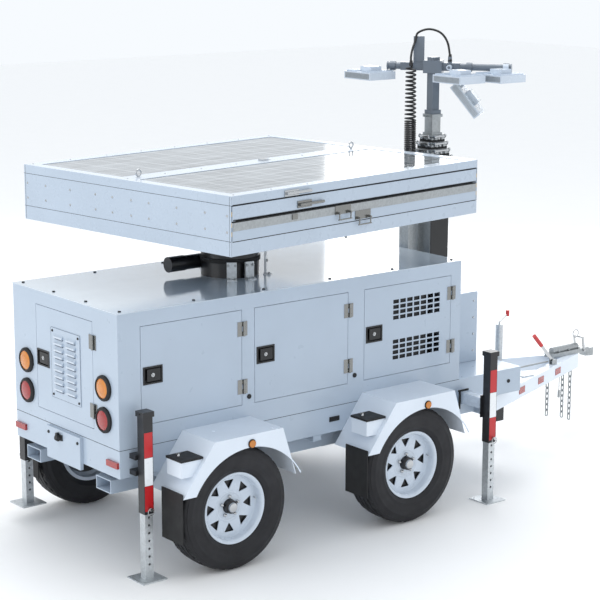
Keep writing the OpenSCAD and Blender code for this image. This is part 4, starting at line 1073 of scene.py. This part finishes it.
def mast_rollers():
    """Guide rollers, bolts and dark bands round the collars of the mast."""
    centre = bar_place().translation
    axis = move((centre.x, centre.y, 0))
    for k, (node, body) in enumerate((
            ("mast_base", "trailer"), ("mast_stage_1", "mast_stage_1_body"),
            ("mast_stage_2", "mast_stage_2_body"), ("mast_stage_3", "mast_stage_3_body"))):
        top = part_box(node)[1].z if node != "mast_base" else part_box("mast_stage_1")[1].z - 0.0446
        half = 0.080 - 0.011 * k + 0.009
        bolts = Piece(axis)
        for quarter in range(4):
            turn = Matrix.Rotation(radians(90 * quarter), 3, "Z")
            for across in (-0.55, 0.0, 0.55):
                start = turn @ Vector((half * across, half, top - 0.022))
                end = turn @ Vector((half * across, half + 0.010, top - 0.022))
                bolts.rod(start, end, 0.0085, None, 6)
            along = turn @ Vector((1, 0, 0))
            roll = turn @ Vector((0, half + 0.013, top - 0.009))
            bolts.rod(roll - along * half * 0.8, roll + along * half * 0.8, 0.0075)
            for side in SIDES:
                stud = roll + along * half * 0.8 * side
                bolts.rod(stud - along * 0.003, stud + along * 0.003, 0.0115, None, 16)
        bolts.done("collar_bolts_" + str(k), "chrome", body, "hardware_steel", 0.0008)
        band = Piece(axis)
        for side in SIDES:
            for low_z, high_z in ((top - 0.0435, top - 0.030), (top - 0.016, top - 0.012)):
                near, far = side * half, side * (half + 0.0012)
                band.box((-half, near, low_z), (half, far, high_z))
                band.box((near, -half, low_z), (far, half, high_z))
        band.done("collar_band_" + str(k), "rubber", body, "black_rubber")


# Where the three level floodlights sit, along and across the crossbar
LEVEL_LAMPS = {"lamp_left": (0.395, 0.092), "lamp_near": (-0.200, 0.235), "lamp_right": (-0.434, 0.090)}


def paint_lamps():
    """Floodlights: white bodies, pale panes, grey brackets."""
    place = bar_place()
    for name, centre in LEVEL_LAMPS.items():

        def bracket(lows, highs, centre=centre):
            middle = (lows + highs) / 2
            away = np.hypot(middle[:, 0] - centre[0], middle[:, 1] - centre[1])
            return (highs[:, 2] > -0.0293) & (away > 0.078)

        pane = layer(None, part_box(name)[0].z + 0.012)
        paint(name, "paint_white", ("led_pane", None, pane), ("paint_grey", place, bracket))
    paint("lamp_down", "paint_white")


def lamp_fins(name, place):
    """Cooling slats along both long sides, ribs on top, lens dots in the pane and bracket screws."""
    half_x, half_y, deep = 0.125, 0.1075, 0.048
    body = name + "_body"
    slats = Piece(place)
    for side in SIDES:
        for k in range(29):
            x = -half_x + 0.013 + k * 0.008
            y = side * half_y
            slats.box((x - 0.0016, y - 0.0025, -deep + 0.007), (x + 0.0016, y + 0.0025, -0.007))
    slats.done(name + "_slats", "zinc", body, "white_paint")
    ribs = Piece(place)
    for k in range(9):
        x = -half_x + 0.012 + k * 0.0095
        for middle in (x, -x):
            ribs.box((middle - 0.0015, -half_y + 0.01, 0), (middle + 0.0015, half_y - 0.01, 0.007))
    ribs.done(name + "_ribs", "paint_white", body, "white_paint")
    dots = Piece(place)
    for k in range(8):
        for j in range(6):
            x, y = -0.094 + k * 0.0268, -0.073 + j * 0.0292
            dots.rod((x, y, -deep + 0.0025), (x, y, -deep - 0.0005), 0.010, 0.006, 16)
    dots.done(name + "_leds", "led_pane", body, "white_paint")
    screws = Piece(place)
    for x in (-0.052, 0.032):
        for y in (-0.037, 0.037):
            screws.rod((x, y, 0.032), (x, y, 0.0345), 0.004, 0.003, 12)
    screws.done(name + "_screws", "chrome", body, "hardware_steel")


def add_lamp_details():
    """Slats, ribs, lens dots and screws on all four floodlights."""
    place = bar_place()
    level = Matrix.Rotation(pi / 2 - atan2(place[1][0], place[0][0]), 4, "Z")
    for name, centre in LEVEL_LAMPS.items():
        lamp_fins(name, place @ move((*centre, -0.030)) @ level)
    hung = place @ turned((-0.110, 0.056, 0), radians(-51), "Y")
    lamp_fins("lamp_down", hung @ move((-0.230, 0, -0.008)))


# ---- running gear, drawbar and the rest ----

def paint_rest():
    """Everything that has one material, or a few that its height or width tells apart."""
    for node, material in (
            ("base_frame", "paint_blue"), ("chassis_rails", "paint_blue"), ("axles", "paint_black"),
            # The drawbar takes the fenders' lighter copy of the white paint: painted light.
            ("drawbar", "paint_fender_lit"), ("coupler", "zinc"), ("coupler_latch", "chrome"),
            ("safety_chains", "zinc"), ("tongue_jack_tube", "zinc_pale"), ("cabinet_shell", "paint_blue"),
            ("cabinet_roof", "paint_roof"), ("door_hinges", "steel_dark"), ("black_trim", "rubber"),
            ("mudflaps", "rubber"), ("mast_housing", "paint_blue")):
        paint(node, material)
    paint("marker_lamps", "lens_red",
          ("lens_amber", None, layer(0.98, 1.2)),
          ("lens_amber", None, lambda lows, highs: (np.abs(lows[:, 1]) > 0.84) & (lows[:, 2] > 0.69)))
    for key in WHEELS:
        paint("jack_leg_" + key, "zinc_pale")
    paint("rear_jack_tubes", "paint_black")
    for name in ("outrigger_r", "outrigger_l"):
        paint(name, "paint_white", ("paint_black", None, beyond(1, 0.772)))
    paint("tongue_jack_leg", "zinc_pale", ("paint_black", None, layer(0.18, 0.2905)))
    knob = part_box("tongue_jack_crank")[1]
    grip = inside((knob.x - 0.027, None, None), (None, None, None))
    paint("tongue_jack_crank", "chrome", ("grip_red", None, grip))
    lever = turned(JOINTS["handbrake_pivot"]["pos_m"], radians(-43), "Y")
    paint("handbrake_lever", "chrome", ("grip_red", lever, layer(0.174, None)))
    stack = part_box("battery_and_inverter")
    shelf_z = stack[0].z
    paint("battery_and_inverter", "plastic",
          ("paint_inverter", None, inside((stack[1].x - 0.141, -0.21, 0.97), (None, 0.21, 1.34))),
          ("zinc", None, inside((stack[0].x, stack[0].y, shelf_z), (None, None, shelf_z + 0.002))),
          ("zinc", None, layer(shelf_z + 0.227, shelf_z + 0.233)),
          ("zinc", None, beyond(1, 0.2345)))
    paint("generator_set", "paint_engine",
          ("paint_black", None, layer(None, 0.7885)),
          ("paint_grey", None, lambda lows, highs: lows[:, 0] > 0.86 - VEHICLE_MIDDLE - 0.001),
          ("zinc", None, lambda lows, highs: lows[:, 1] > 0.1645))


def drawbar_trim():
    """Coupler bolts and the rod of the hand brake."""
    low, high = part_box("coupler")
    bolts = Piece()
    for x in (high.x - 0.36, high.x - 0.26, high.x - 0.16):
        for side in SIDES:
            bolts.rod((x, side * 0.026, low.z + 0.066), (x, side * 0.026, low.z + 0.074), 0.009, None, 6)
    bolts.done("coupler_bolts", "zinc", "trailer", "galvanised", 0.0008)
    pivot = Vector(JOINTS["handbrake_pivot"]["pos_m"])
    y, z = pivot.y + 0.03, pivot.z - 0.004
    rod = Piece().rod((pivot.x - 0.30, y, z), (pivot.x - 0.02, y, z), 0.006)
    rod.done("brake_rod", "zinc", "trailer", "galvanised")


add_camera()
make_materials()
add_studio()
add_cords()
paint_rest()
paint_doors()
paint_rear_door()
paint_fenders()
paint_solar_box()
paint_slew()
paint_mast()
paint_lamps()
louvres_and_bolts()
vent_shade_sheets()
latch_locks()
body_seam()
rear_plate()
housing_screws()
for wheel_key in WHEELS:
    tyre(wheel_key)
    wheel(wheel_key)
fender_trim()
lamp_lenses()
jack_tapes()
box_screws()
tray_bands()
slew_bolts()
mast_rollers()
add_lamp_details()
drawbar_trim()
for node in ("cabinet_roof", "solar_frame", "base_frame", "mast_housing"):
    soften(node, 0.0025)
